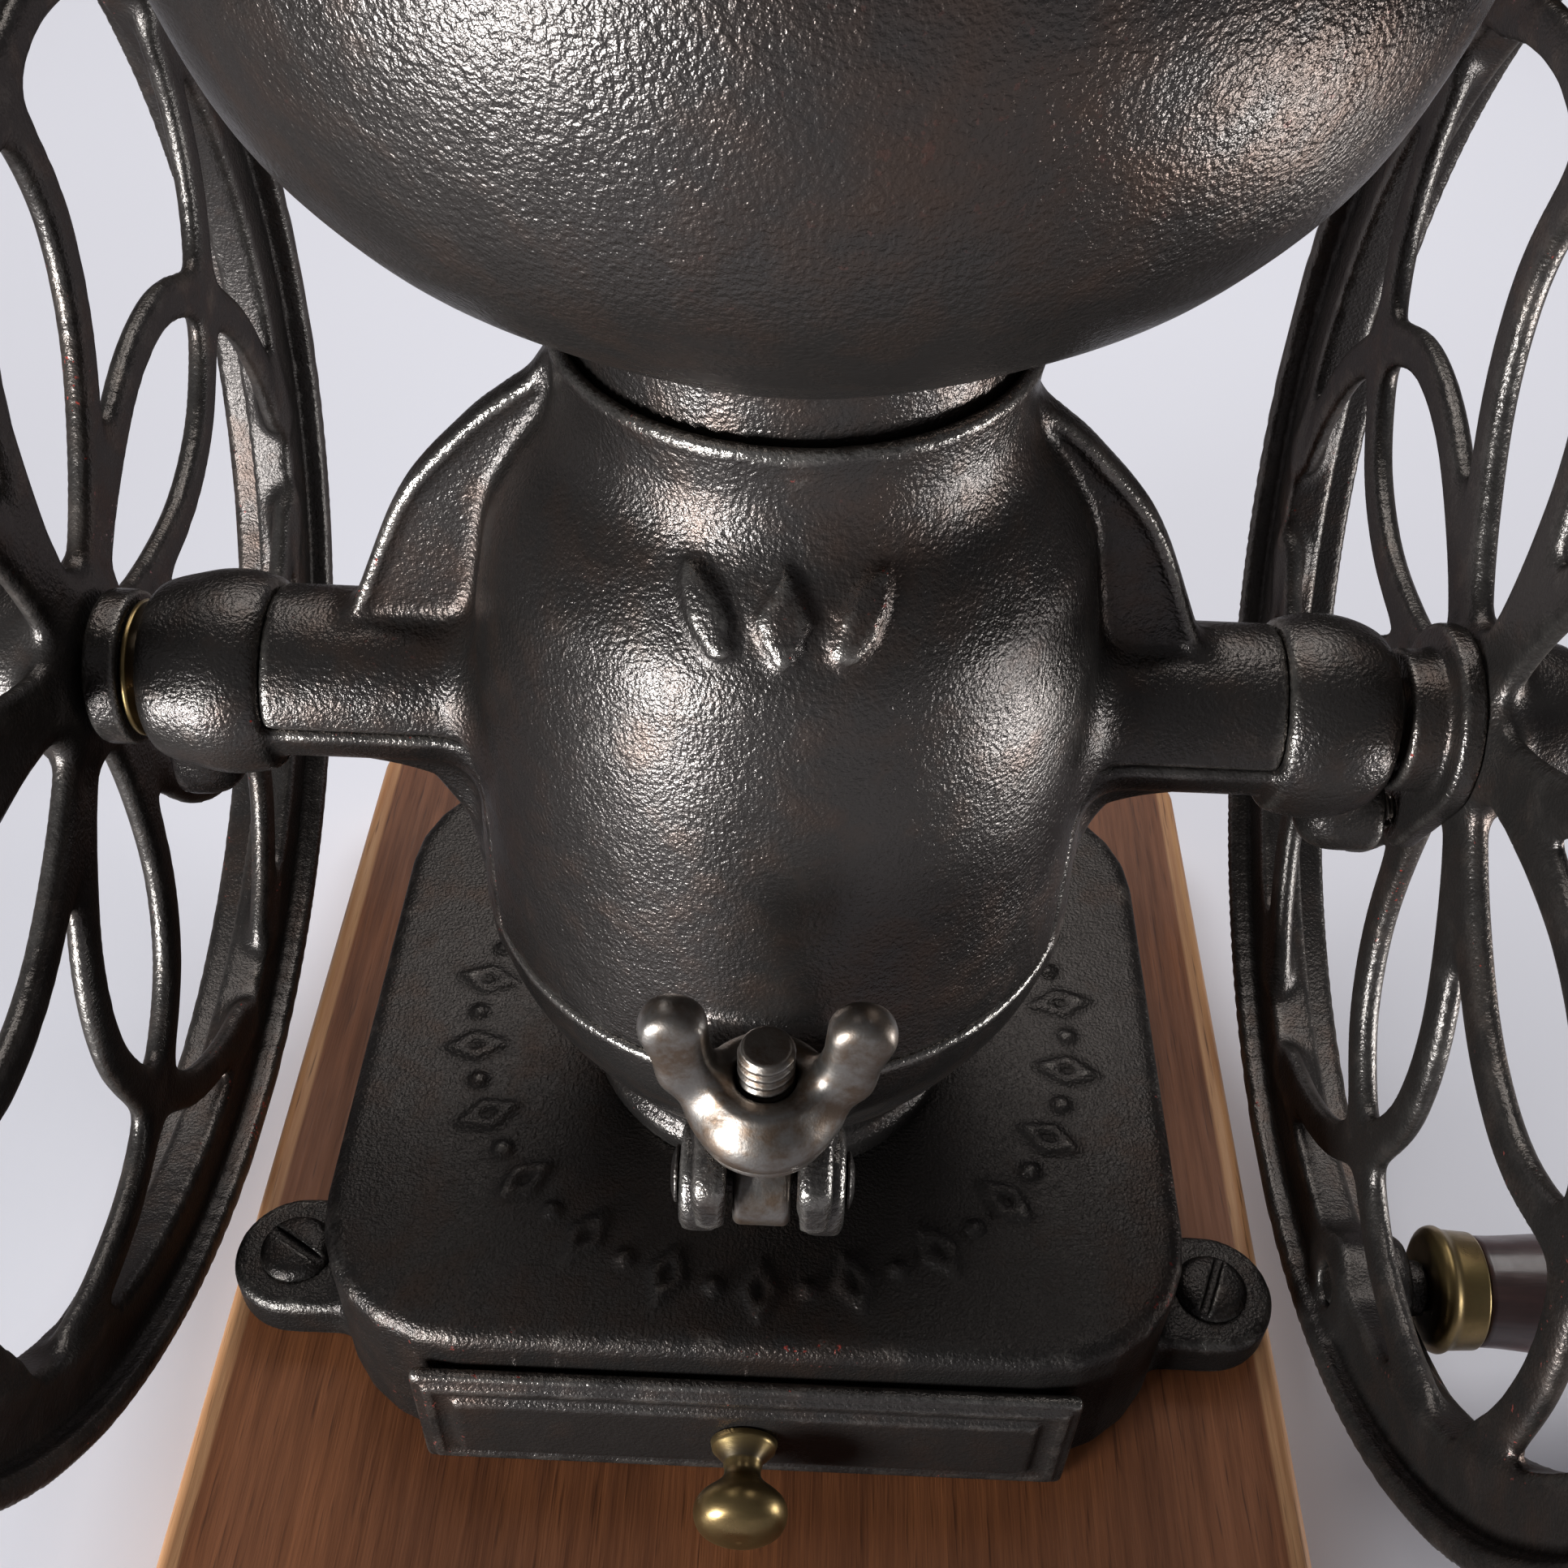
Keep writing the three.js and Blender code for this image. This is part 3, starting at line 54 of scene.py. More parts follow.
# Forms are drawn in millimetres from the middle of the shaft: X along it, Y to the rear, Z up
MM = 0.001
SHAFT = (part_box("shaft")[0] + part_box("shaft")[1]) / 2
SOFT = 0.7
BLOCK = 4
CHUNK = 400_000
# Edges of the tools that cut a form, and the smallest edges of a form
SHARP, CRISP = 0.1, 0.3


def span(node):
    """The lowest and highest corner of a piece of the frame, in millimetres from the shaft's middle."""
    low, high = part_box(node)
    return np.array(low - SHAFT) / MM, np.array(high - SHAFT) / MM


# Outlines

def smooth_line(points, steps=6):
    """Points on a round line that passes through the given ones."""
    p = np.array(points, float)
    p = np.vstack([2 * p[0] - p[1], p, 2 * p[-1] - p[-2]])
    line = []
    for a, b, c, d in zip(p, p[1:], p[2:], p[3:]):
        for t in np.linspace(0, 1, steps, endpoint=False):
            bend = (2 * a - 5 * b + 4 * c - d) * t * t + (3 * b - a - 3 * c + d) * t ** 3
            line.append(0.5 * (2 * b + (c - a) * t + bend))
    return np.array([*line, p[-2]])


def arc(x, y, radius, start, end, steps=12):
    """Points on an arc, its angles in degrees."""
    return [(x + radius * math.cos(a), y + radius * math.sin(a))
            for a in np.radians(np.linspace(start, end, steps))]


def polygon_distance(x, y, points):
    """The distance from a closed outline, negative inside."""
    near = np.full(x.shape, np.inf)
    inside = np.zeros(x.shape, bool)
    for (ax, ay), (bx, by) in zip(points, np.roll(points, -1, 0)):
        ex, ey = bx - ax, by - ay
        length = ex * ex + ey * ey
        if length < 1e-12:
            continue
        wx, wy = x - ax, y - ay
        t = np.clip((wx * ex + wy * ey) / length, 0, 1)
        near = np.minimum(near, (wx - ex * t) ** 2 + (wy - ey * t) ** 2)
        if ay != by:
            inside ^= ((ay <= y) != (by <= y)) & (x < ax + ex * (y - ay) / ey)
    return np.where(inside, -1, 1) * np.sqrt(near)


class Drawing:
    """A flat shape kept as a table of distances from its outline, and read between the table's points."""

    def __init__(self, measure, low, high, step):
        self.low, self.step = np.array(low, float), step
        self.count = np.ceil((np.array(high) - low) / step).astype(int) + 1
        axes = [self.low[k] + np.arange(self.count[k]) * step for k in (0, 1)]
        self.table = measure(*np.meshgrid(*axes, indexing="ij"))

    def __call__(self, x, y):
        high = self.low + (self.count - 1) * self.step
        cx, cy = np.clip(x, self.low[0], high[0]), np.clip(y, self.low[1], high[1])
        u, v = (cx - self.low[0]) / self.step, (cy - self.low[1]) / self.step
        i = np.minimum(u.astype(int), self.count[0] - 2)
        j = np.minimum(v.astype(int), self.count[1] - 2)
        a, b, t = u - i, v - j, self.table
        near = (t[i, j] * (1 - a) + t[i + 1, j] * a) * (1 - b)
        far = (t[i, j + 1] * (1 - a) + t[i + 1, j + 1] * a) * b
        return near + far + np.hypot(x - cx, y - cy)


def outline(points, step=0.25, margin=4):
    """The drawing of a closed outline."""
    p = np.array(points, float)
    return Drawing(lambda x, y: polygon_distance(x, y, p), p.min(0) - margin, p.max(0) + margin, step)


def half_profile(points, step=0.25):
    """The drawing of a turned solid's half section, whose first and last points are on the axis."""
    p = np.array(points, float)
    far = -0.3 * np.ptp(p[:, 0]) - 4
    return outline([(far, p[0][1]), *p, (far, p[-1][1])], step)


# Solid forms

def soft_min(a, b, k):
    """The smaller of two distances, with a fillet of about k where they meet."""
    h = np.maximum(k - np.abs(a - b), 0) / k
    return np.minimum(a, b) - h * h * k / 4


class Form:
    """A solid as a function that gives the distance from its surface at points, negative inside."""

    def __init__(self, distance):
        self.distance = distance

    def __call__(self, p):
        return self.distance(p)

    def joined(self, other, fillet=SOFT):
        return Form(lambda p: soft_min(self(p), other(p), fillet))

    def cut(self, other, edge=SOFT):
        return Form(lambda p: -soft_min(-self(p), other(p), edge))

    def kept(self, other, edge=SOFT):
        return Form(lambda p: -soft_min(-self(p), -other(p), edge))

    def moved(self, x=0.0, y=0.0, z=0.0):
        shift = np.array([x, y, z], np.float32)
        return Form(lambda p: self(p - shift))

    def turned(self, rotation):
        back = np.array(Euler(rotation).to_matrix(), np.float32)
        return Form(lambda p: self(p @ back))

    def mirrored(self):
        flip = np.array([-1, 1, 1], np.float32)
        return Form(lambda p: self(p * flip))

    def both_sides(self):
        """The form and its mirror image, for a form that stays on the +X side."""
        return Form(lambda p: self(np.abs(p) * (1, 0, 0) + p * (0, 1, 1)))


def all_of(first, *others, fillet=SOFT):
    for other in others:
        first = first.joined(other, fillet)
    return first


def without(first, *others, edge=SOFT):
    for other in others:
        first = first.cut(other, edge)
    return first


def across(p, axis):
    """The two directions across an axis, and the one along it."""
    k = "XYZ".index(axis)
    return p[:, (k + 1) % 3], p[:, (k + 2) % 3], p[:, k]


def lathe(profile, axis="Z"):
    """A solid turned about an axis from its half section of (radius, height) points."""
    section = half_profile(profile)

    def distance(p):
        a, b, h = across(p, axis)
        return section(np.hypot(a, b), h)
    return Form(distance)


def hollow_turned(points, x=0.0):
    """A hollow solid turned about an upright axis at x, from its closed half section."""
    section = outline(points)
    return Form(lambda p: section(np.hypot(p[:, 0] - x, p[:, 1]), p[:, 2]))


def slab(flat, low, high, axis, edge):
    """A flat shape made solid from low to high along an axis, its edges rounded."""
    middle, half = (low + high) / 2, (high - low) / 2

    def distance(p):
        a, b, h = across(p, axis)
        side, end = flat(a, b) + edge, np.abs(h - middle) - half + edge
        outside = np.hypot(np.maximum(side, 0), np.maximum(end, 0))
        return np.minimum(np.maximum(side, end), 0) + outside - edge
    return Form(distance)


def plate(points, low, high, axis, edge=SOFT):
    return slab(outline(points), low, high, axis, edge)


def rod(radius, low, high, axis, edge=SOFT):
    return slab(lambda a, b: np.hypot(a, b) - radius, low, high, axis, edge)


def block(low, high, edge=SOFT):
    low, high = np.array(low, np.float32), np.array(high, np.float32)
    middle, half = (low + high) / 2, (high - low) / 2 - edge

    def distance(p):
        q = np.abs(p - middle) - half
        return np.linalg.norm(np.maximum(q, 0), axis=1) + np.minimum(q.max(1), 0) - edge
    return Form(distance)


def finger(start, end, first, last):
    """A round bar between two points, whose radius goes from first to last."""
    a, line = np.array(start, np.float32), np.array(end, np.float32) - np.array(start, np.float32)

    def distance(p):
        t = np.clip((p - a) @ line / (line @ line), 0, 1)
        return np.linalg.norm(p - a - t[:, None] * line, axis=1) - (first + (last - first) * t)
    return Form(distance)


def thread(radius, low, high, pitch, depth, axis):
    """A threaded bar with a chamfered end."""
    def distance(p):
        a, b, h = across(p, axis)
        turn = h / pitch - np.arctan2(b, a) / (2 * math.pi)
        ridge = np.abs(turn - np.floor(turn) - 0.5) * 2
        side = (np.hypot(a, b) - radius + depth * ridge) * 0.8
        end = np.abs(h - (low + high) / 2) - (high - low) / 2
        taper = (np.hypot(a, b) - radius + depth * 1.4 + (h - high)) * 0.7
        return np.maximum(np.maximum(side, end), taper)
    return Form(distance)


def ring_of(count, first=0.0):
    """Angles in radians, evenly round a circle, from a first one in degrees."""
    return [math.radians(first) + 2 * math.pi * i / count for i in range(count)]


# From a form to a mesh

def measured(form, points):
    parts = [form(points[i:i + CHUNK]) for i in range(0, len(points), CHUNK)]
    return np.concatenate(parts).astype(np.float32)


def sampled(form, low, high, step):
    """Distances on a grid round a form. Blocks of the grid far from its surface keep their middle's distance."""
    low = np.array(low, float) - 2 * step
    blocks = np.ceil((np.array(high, float) + 2 * step - low) / (step * BLOCK)).astype(int)
    middles = [low[k] + (np.arange(blocks[k]) * BLOCK + (BLOCK - 1) / 2) * step for k in range(3)]
    centres = np.stack(np.meshgrid(*middles, indexing="ij"), -1).reshape(-1, 3).astype(np.float32)
    rough = measured(form, centres).reshape(blocks)
    grid = rough.repeat(BLOCK, 0).repeat(BLOCK, 1).repeat(BLOCK, 2)
    near = np.argwhere(np.abs(rough) < step * (BLOCK * 1.1 + 2))
    inner = np.argwhere(np.ones((BLOCK,) * 3))
    places = (near[:, None] * BLOCK + inner[None]).reshape(-1, 3)
    points = (low + places * step).astype(np.float32)
    grid[tuple(places.T)] = measured(form, points)
    return grid, low


def corners_of(grid):
    """The cells that the surface passes through, a corner point in each, and the faces between them."""
    inside = grid < 0
    last = np.array(grid.shape) - 1
    offsets = np.argwhere(np.ones((2, 2, 2)))
    filled = sum(inside[i:last[0] + i, j:last[1] + j, k:last[2] + k].astype(np.uint8) for i, j, k in offsets)
    mixed = (filled > 0) & (filled < 8)
    cells = np.argwhere(mixed)
    index = np.full(mixed.shape, -1, np.int64)
    index[mixed] = np.arange(len(cells))
    total, hits = np.zeros((len(cells), 3)), np.zeros(len(cells))
    for axis in range(3):
        unit = np.eye(3, dtype=int)[axis]
        for start in offsets[offsets[:, axis] == 0]:
            a, b = grid[tuple((cells + start).T)], grid[tuple((cells + start + unit).T)]
            hit = (a < 0) != (b < 0)
            t = a[hit] / (a[hit] - b[hit])
            total[hit] += start + t[:, None] * unit
            hits[hit] += 1
    faces = []
    for axis in range(3):
        unit, right, up = (np.eye(3, dtype=int)[(axis + k) % 3] for k in range(3))
        first = inside.take(range(last[axis]), axis)
        second = inside.take(range(1, last[axis] + 1), axis)
        at = np.argwhere(first != second)
        at = at[((at > 0) | (unit > 0)).all(1) & (at < last).all(1)]
        quad = np.stack([index[tuple((at - s).T)] for s in (0 * unit, right, right + up, up)], 1)
        outward = first[tuple(at.T)]
        faces.append(np.where(outward[:, None], quad, quad[:, ::-1]))
    return cells + total / hits[:, None], np.concatenate(faces)


def spread(values, faces, count):
    """Each corner's value as the mean of the faces that share it."""
    means = values[faces].mean(1)
    share = np.maximum(np.bincount(faces.ravel(), minlength=count), 1)
    if values.ndim == 1:
        return np.bincount(faces.ravel(), np.repeat(means, 4), count) / share
    return np.stack([spread(values[:, k], faces, count) for k in range(values.shape[1])], 1)


def cast(name, form, low, high, step):
    """A closed skin round a form. Its wear is how sharply it turns outwards, its hollow how it turns inwards."""
    grid, origin = sampled(form, low, high, step)
    places, faces = corners_of(grid)
    points = (origin + places * step).astype(np.float32)
    reach = 0.8 * step
    here = measured(form, points)
    sides = [[measured(form, points + sign * reach * np.eye(3, dtype=np.float32)[k]) for sign in (1, -1)]
             for k in range(3)]
    slope = np.stack([(a - b) / (2 * reach) for a, b in sides], 1)
    bend = (sum(a + b for a, b in sides) - 6 * here) / reach
    flat = np.clip(1 - np.abs(bend), 0, 1)
    steep = np.maximum((slope * slope).sum(1), 0.25)
    points = points - (np.clip(here, -step, step) * flat / steep)[:, None] * slope
    for _ in range(2):
        eased = spread(points, faces, len(points))
        points = points + (eased - points) * (0.5 * (1 - flat))[:, None]
    bend = spread(spread(bend, faces, len(points)), faces, len(points))
    return skin(name, points, faces, bend)


def skin(name, points, faces, bend):
    mesh = bpy.data.meshes.new(name)
    mesh.vertices.add(len(points))
    mesh.vertices.foreach_set("co", (points * MM + np.array(SHAFT)).astype(np.float32).ravel())
    mesh.loops.add(faces.size)
    mesh.loops.foreach_set("vertex_index", faces.astype(np.int32).ravel())
    mesh.polygons.add(len(faces))
    mesh.polygons.foreach_set("loop_start", np.arange(0, faces.size, faces.shape[1], dtype=np.int32))
    mesh.update(calc_edges=True)
    mesh.polygons.foreach_set("use_smooth", np.ones(len(faces), bool))
    for label, values in (("wear", bend), ("hollow", -bend)):
        kept = np.clip(values, 0, 2).astype(np.float32)
        mesh.attributes.new(label, "FLOAT", "POINT").data.foreach_set("value", kept)
    piece = bpy.data.objects.new(name, mesh)
    bpy.context.scene.collection.objects.link(piece)
    return piece


def spin(name, profile, axis="Z", at=(0.0, 0.0, 0.0), sides=64):
    """A turned piece from its half section, which is closed or starts and ends on the axis."""
    line = np.array(profile, float)
    closed = np.allclose(line[0], line[-1])
    line = line[:-1] if closed else line
    turn = np.linspace(0, 2 * math.pi, sides, endpoint=False)
    k = "XYZ".index(axis)
    points = np.zeros((len(line), sides, 3))
    points[..., (k + 1) % 3] = line[:, :1] * np.cos(turn)
    points[..., (k + 2) % 3] = line[:, :1] * np.sin(turn)
    points[..., k] = line[:, 1:]
    ring = np.arange(sides)
    faces = []
    for i in range(len(line) if closed else len(line) - 1):
        a, b = i * sides, (i + 1) % len(line) * sides
        faces.append(np.stack([a + ring, a + (ring + 1) % sides, b + (ring + 1) % sides, b + ring], 1))
    before, after = line - np.roll(line, 1, 0), np.roll(line, -1, 0) - line
    bend = np.arctan2(before[:, 0] * after[:, 1] - before[:, 1] * after[:, 0], (before * after).sum(1))
    area = 0.5 * np.sum(line[:, 0] * np.roll(line[:, 1], -1) - np.roll(line[:, 0], -1) * line[:, 1])
    faces = np.concatenate(faces)
    if area < 0:
        faces, bend = faces[:, ::-1], -bend
    piece = skin(name, points.reshape(-1, 3) + np.array(at), faces, np.repeat(bend, sides) * 0.8)
    tidy_ends(piece.data)
    return piece


def tidy_ends(mesh):
    """Merges the corners that fall together on a turned piece's axis."""
    made = bmesh.new()
    made.from_mesh(mesh)
    bmesh.ops.remove_doubles(made, verts=made.verts, dist=1e-7)
    bmesh.ops.dissolve_degenerate(made, edges=made.edges, dist=1e-8)
    made.to_mesh(mesh)
    made.free()


def rounded(points, radius, steps=3):
    """A profile with its corners rounded, apart from its ends."""
    p = [np.array(q, float) for q in points]
    line = [p[0]]
    for a, b, c in zip(p, p[1:], p[2:]):
        before, after = a - b, c - b
        cut = min(radius, 0.45 * np.linalg.norm(before), 0.45 * np.linalg.norm(after))
        start, end = b + before / np.linalg.norm(before) * cut, b + after / np.linalg.norm(after) * cut
        for t in np.linspace(0, 1, steps + 1):
            line.append(start * (1 - t) ** 2 + 2 * b * t * (1 - t) + end * t * t)
    return [*line, p[-1]]


# Materials as expressions

class Wire:
    """A socket of a material. Sums and products of wires add the nodes that work them out."""

    def __init__(self, finish, node, key=0):
        self.finish, self.from_node, self.socket = finish, node, node.outputs[key]

    def output(self, key):
        return Wire(self.finish, self.from_node, key)

    def maths(self, operation, *values):
        return self.finish.node("ShaderNodeMath", {"operation": operation}, dict(enumerate(values)))

    def __add__(self, other):
        return self.maths("ADD", self, other)

    def __sub__(self, other):
        return self.maths("SUBTRACT", self, other)

    def __rsub__(self, other):
        return self.maths("SUBTRACT", other, self)

    def __mul__(self, other):
        return self.maths("MULTIPLY", self, other)

    __radd__, __rmul__ = __add__, __mul__

    def ramp(self, low, high, start=0.0, end=1.0):
        """This value taken from low..high to start..end, and held there outside."""
        values = {0: self, 1: low, 2: high, 3: start, 4: end}
        return self.finish.node("ShaderNodeMapRange", {"clamp": True}, values)


class Finish:
    """A material under construction, with one shader."""

    def __init__(self, name):
        self.material = bpy.data.materials.new(name)
        self.material.use_nodes = True
        self.tree = self.material.node_tree
        self.shader = next(n for n in self.tree.nodes if n.type == "BSDF_PRINCIPLED")
        self.place = self.node("ShaderNodeTexCoord").output("Object")

    def node(self, kind, settings=None, sockets=None):
        made = self.tree.nodes.new(kind)
        for key, value in (settings or {}).items():
            setattr(made, key, value)
        for key, value in (sockets or {}).items():
            self.join(made.inputs[key], value)
        return Wire(self, made)

    def join(self, socket, value):
        if isinstance(value, Wire):
            self.tree.links.new(value.socket, socket)
        else:
            socket.default_value = value

    def noise(self, size, detail=2.0, rough=0.5, stretch=(1, 1, 1), seed=0.0):
        """Noise with features of a size in metres, drawn out along an axis by stretch."""
        shares = tuple(1 / (size * s) for s in stretch)
        place = self.node("ShaderNodeMapping", {}, {
            "Vector": self.place, "Location": (seed,) * 3, "Scale": shares,
        })
        values = {"Vector": place, "Scale": 1.0, "Detail": detail, "Roughness": rough}
        return self.node("ShaderNodeTexNoise", {}, values)

    def mix(self, share, first, second):
        """A colour between two colours."""
        values = {0: share, 6: first, 7: second}
        return self.node("ShaderNodeMix", {"data_type": "RGBA"}, values).output(2)

    def edges(self, label):
        return self.node("ShaderNodeAttribute", {"attribute_name": label}).output("Fac")

    def bumped(self, *layers):
        """Bumps of (height, depth in metres), one on the other."""
        normal = None
        for height, depth in layers:
            values = {"Height": height, "Distance": depth, "Strength": 1.0}
            if normal:
                values["Normal"] = normal
            normal = self.node("ShaderNodeBump", {}, values)
        return normal

    def set(self, **sockets):
        for key, value in sockets.items():
            self.join(self.shader.inputs[key.replace("_", " ")], value)
        return self.material


def colour(value):
    return (*value, 1.0) if len(value) == 3 else tuple(value)


def iron(name, look, tone=1.0, rough=0.0, grain=1.0, rubbing=1.0):
    """Old cast iron: dark skin, brown patches, fine orange peel, bright worn edges, flecks of lost paint and
    painted shade darkening its hollows.
    """
    f = Finish(name)
    wear, hollow = f.edges("wear"), f.edges("hollow")
    patches = f.noise(0.035, 4, 0.6)
    smudges = f.noise(0.006, 3, 0.6, seed=3.0)
    specks = f.noise(0.0011, 2, 0.6, seed=7.0)
    peel = f.noise(look.grain, 2, 0.55, seed=1.0)
    dark = colour([c * tone for c in look.skin])
    brown = f.mix((patches * 0.6 + smudges * 0.4).ramp(0.5, 0.66), dark, colour([c * tone for c in look.rust]))
    # Painted shade: the hollows darkened towards a third of the skin's colour, standing in for the shade that falls
    # in them.
    shaded_in_hollows = f.mix(hollow.ramp(0.1, 0.7) * 0.75, brown, colour([c * 0.35 for c in look.skin]))
    rubbed = (wear + (peel - 0.5) * 0.5 + (smudges - 0.5) * 0.9).ramp(0.22, 0.75) * (look.wear * rubbing)
    bright = f.mix(rubbed, shaded_in_hollows, colour(look.worn))
    flecks = (specks * 0.6 + patches * 0.4).ramp(0.655, 0.675) * (0.2 + wear).ramp(0.2, 0.5)
    paint = f.mix(flecks * 0.8, bright, colour(look.paint))
    dull = (0.5 - rubbed * 0.12) + (smudges - 0.5) * 0.22 + hollow.ramp(0.0, 0.8) * 0.15
    bumps = ((peel, look.grain_depth * grain), (smudges, look.grain_depth * 1.1))
    return f.set(
        Base_Color=paint, Metallic=(0.82 - flecks * 0.8), Roughness=dull + (look.rough - 0.5 + rough),
        Normal=f.bumped(*bumps), Specular_Tint=colour(look.edge_tint), Specular_IOR_Level=0.35,
    )


def steel(name, look):
    """Bare worn steel with brown stains and painted shade darkening its hollows."""
    f = Finish(name)
    wear, hollow = f.edges("wear"), f.edges("hollow")
    stains = f.noise(0.004, 4, 0.65, seed=5.0)
    fine = f.noise(0.0006, 2, 0.6)
    brown = f.mix(stains.ramp(0.42, 0.62), colour(look.steel), colour(look.stain))
    # Painted shade: the hollows darkened towards the iron's skin colour.
    shaded_in_hollows = f.mix(hollow.ramp(0.05, 0.6) * 0.8, brown, colour(look.skin))
    bright = f.mix((wear + (stains - 0.5) * 0.8).ramp(0.15, 0.8) * 0.8, shaded_in_hollows, colour(look.worn))
    dull = stains.ramp(0.3, 0.7, 0.3, 0.46) - wear.ramp(0.1, 0.8) * 0.08
    return f.set(Base_Color=bright, Metallic=0.95, Roughness=dull, Normal=f.bumped((fine, 3e-5), (stains, 5e-5)))


def brassy(name, look):
    """Old brass, dull olive in patches, painted shade darkening its hollows, and yellow where it is rubbed."""
    f = Finish(name)
    wear, hollow = f.edges("wear"), f.edges("hollow")
    stains = f.noise(0.005, 4, 0.6, seed=2.0)
    fine = f.noise(0.0005, 2, 0.6, stretch=(4, 1, 1))
    olive = f.mix(stains.ramp(0.38, 0.65), colour(look.brass), colour(look.olive))
    # Painted shade: the hollows darkened towards the iron's skin colour.
    shaded_in_hollows = f.mix(hollow.ramp(0.05, 0.6) * 0.7, olive, colour(look.skin))
    bright = f.mix(wear.ramp(0.15, 0.9) * 0.6, shaded_in_hollows, colour(look.gold))
    return f.set(
        Base_Color=bright, Metallic=0.95, Roughness=stains.ramp(0.3, 0.7, 0.26, 0.42),
        Normal=f.bumped((fine, 1.5e-5)),
    )


def board_wood(name, look):
    """Oiled hardwood with its grain from front to back and a paler strip along each side, a painted highlight for
    the light on the rounded side edges.
    """
    f = Finish(name)
    broad = f.noise(0.02, 3, 0.6, stretch=(1, 9, 1))
    fine = f.noise(0.0016, 4, 0.65, stretch=(1, 22, 1), seed=4.0)
    pores = f.noise(0.0006, 2, 0.7, stretch=(1, 26, 1), seed=9.0)
    side = f.node("ShaderNodeSeparateXYZ", {}, {0: f.place})
    # Painted highlight: beyond this distance from the middle the wood is paler, for the light on the rounded side
    # edges.
    strip = side.maths("ABSOLUTE", side).ramp(look.highlight_from, look.highlight_from + 0.0006)
    middle = f.mix((broad * 0.5 + fine * 0.5).ramp(0.36, 0.64), colour(look.wood), colour(look.wood_dark))
    highlight_tone = f.mix(fine.ramp(0.35, 0.7) * 0.6, colour(look.strip), colour(look.wood))
    whole = f.mix(strip, middle, highlight_tone)
    grained = f.mix(pores.ramp(0.6, 0.72) * 0.6, whole, colour([c * 0.35 for c in look.wood_dark]))
    return f.set(
        Base_Color=grained, Roughness=fine.ramp(0.3, 0.7, 0.4, 0.55), Specular_IOR_Level=0.22,
        Normal=f.bumped((fine, 6e-5), (pores, 6e-5)),
    )


def grip_wood(name, look):
    """Dark stained wood with its grain along the crank handle, worn smooth."""
    f = Finish(name)
    broad = f.noise(0.008, 3, 0.6, stretch=(7, 1, 1))
    fine = f.noise(0.0012, 4, 0.65, stretch=(18, 1, 1), seed=6.0)
    dents = f.noise(0.004, 2, 0.5, seed=8.0)
    stained = f.mix((broad * 0.5 + fine * 0.5).ramp(0.38, 0.62), colour(look.grip), colour(look.grip_dark))
    return f.set(
        Base_Color=stained, Roughness=dents.ramp(0.3, 0.7, 0.26, 0.42), Coat_Weight=0.3, Coat_Roughness=0.2,
        Normal=f.bumped((fine, 5e-5), (dents, 1.2e-4)),
    )


FINISHES = {}


def finish(slot):
    """The material of a slot, made once."""
    look = bpy.context.scene.coffee_mill.finish
    makers = {
        "black_iron": lambda: iron("black_iron", look),
        "wheel_iron": lambda: iron("wheel_iron", look, tone=0.9, rough=0.06, grain=0.8, rubbing=0.4),
        "dull_iron": lambda: iron("dull_iron", look, tone=0.6, rough=0.08, grain=1.3),
        "worn_steel": lambda: steel("worn_steel", look),
        "brass": lambda: brassy("brass", look),
        "board_wood": lambda: board_wood("board_wood", look),
        "grip_wood": lambda: grip_wood("grip_wood", look),
    }
    if slot not in FINISHES:
        FINISHES[slot] = makers[slot]()
    return FINISHES[slot]


def dress(piece, slot, material=None):
    """Gives a piece the material of its slot, or another one that the slot is drawn with."""
    piece.data.materials.clear()
    piece.data.materials.append(finish(material or slot))


def fit(piece, body, slot, *nodes, material=None):
    """Gives a piece its finish, its body and the nodes that it stands for."""
    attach(piece, body)
    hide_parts(*nodes)
    dress(piece, slot, material)
    return piece


def cast_piece(node, form, step, body, slot, ending="_fine", material=None):
    """Casts a form in the box of a node and puts it in the node's place."""
    low, high = span(node)
    return fit(cast(node + ending, form, low, high, step), body, slot, node, material=material)


def spin_piece(node, profile, axis, at, body, slot, sides=64):
    """Turns a profile and puts it in a node's place."""
    return fit(spin(node + "_fine", profile, axis, at, sides), body, slot, node)


# Sizes and looks that a user would change

def length(name, description, default):
    return bpy.props.FloatProperty(
        name=name, description=description, default=default * MM, unit="LENGTH", precision=4,
    )


def tint(name, description, default):
    return bpy.props.FloatVectorProperty(
        name=name, description=description, default=default, size=3, subtype="COLOR", min=0, max=1,
    )


def fraction(name, description, default):
    return bpy.props.FloatProperty(name=name, description=description, default=default, min=0, max=1)


def bearing(name, description, degrees):
    return bpy.props.FloatProperty(
        name=name, description=description, default=math.radians(degrees), subtype="ANGLE",
    )


def amount(name, description, default, lowest):
    return bpy.props.FloatProperty(name=name, description=description, default=default, min=lowest)


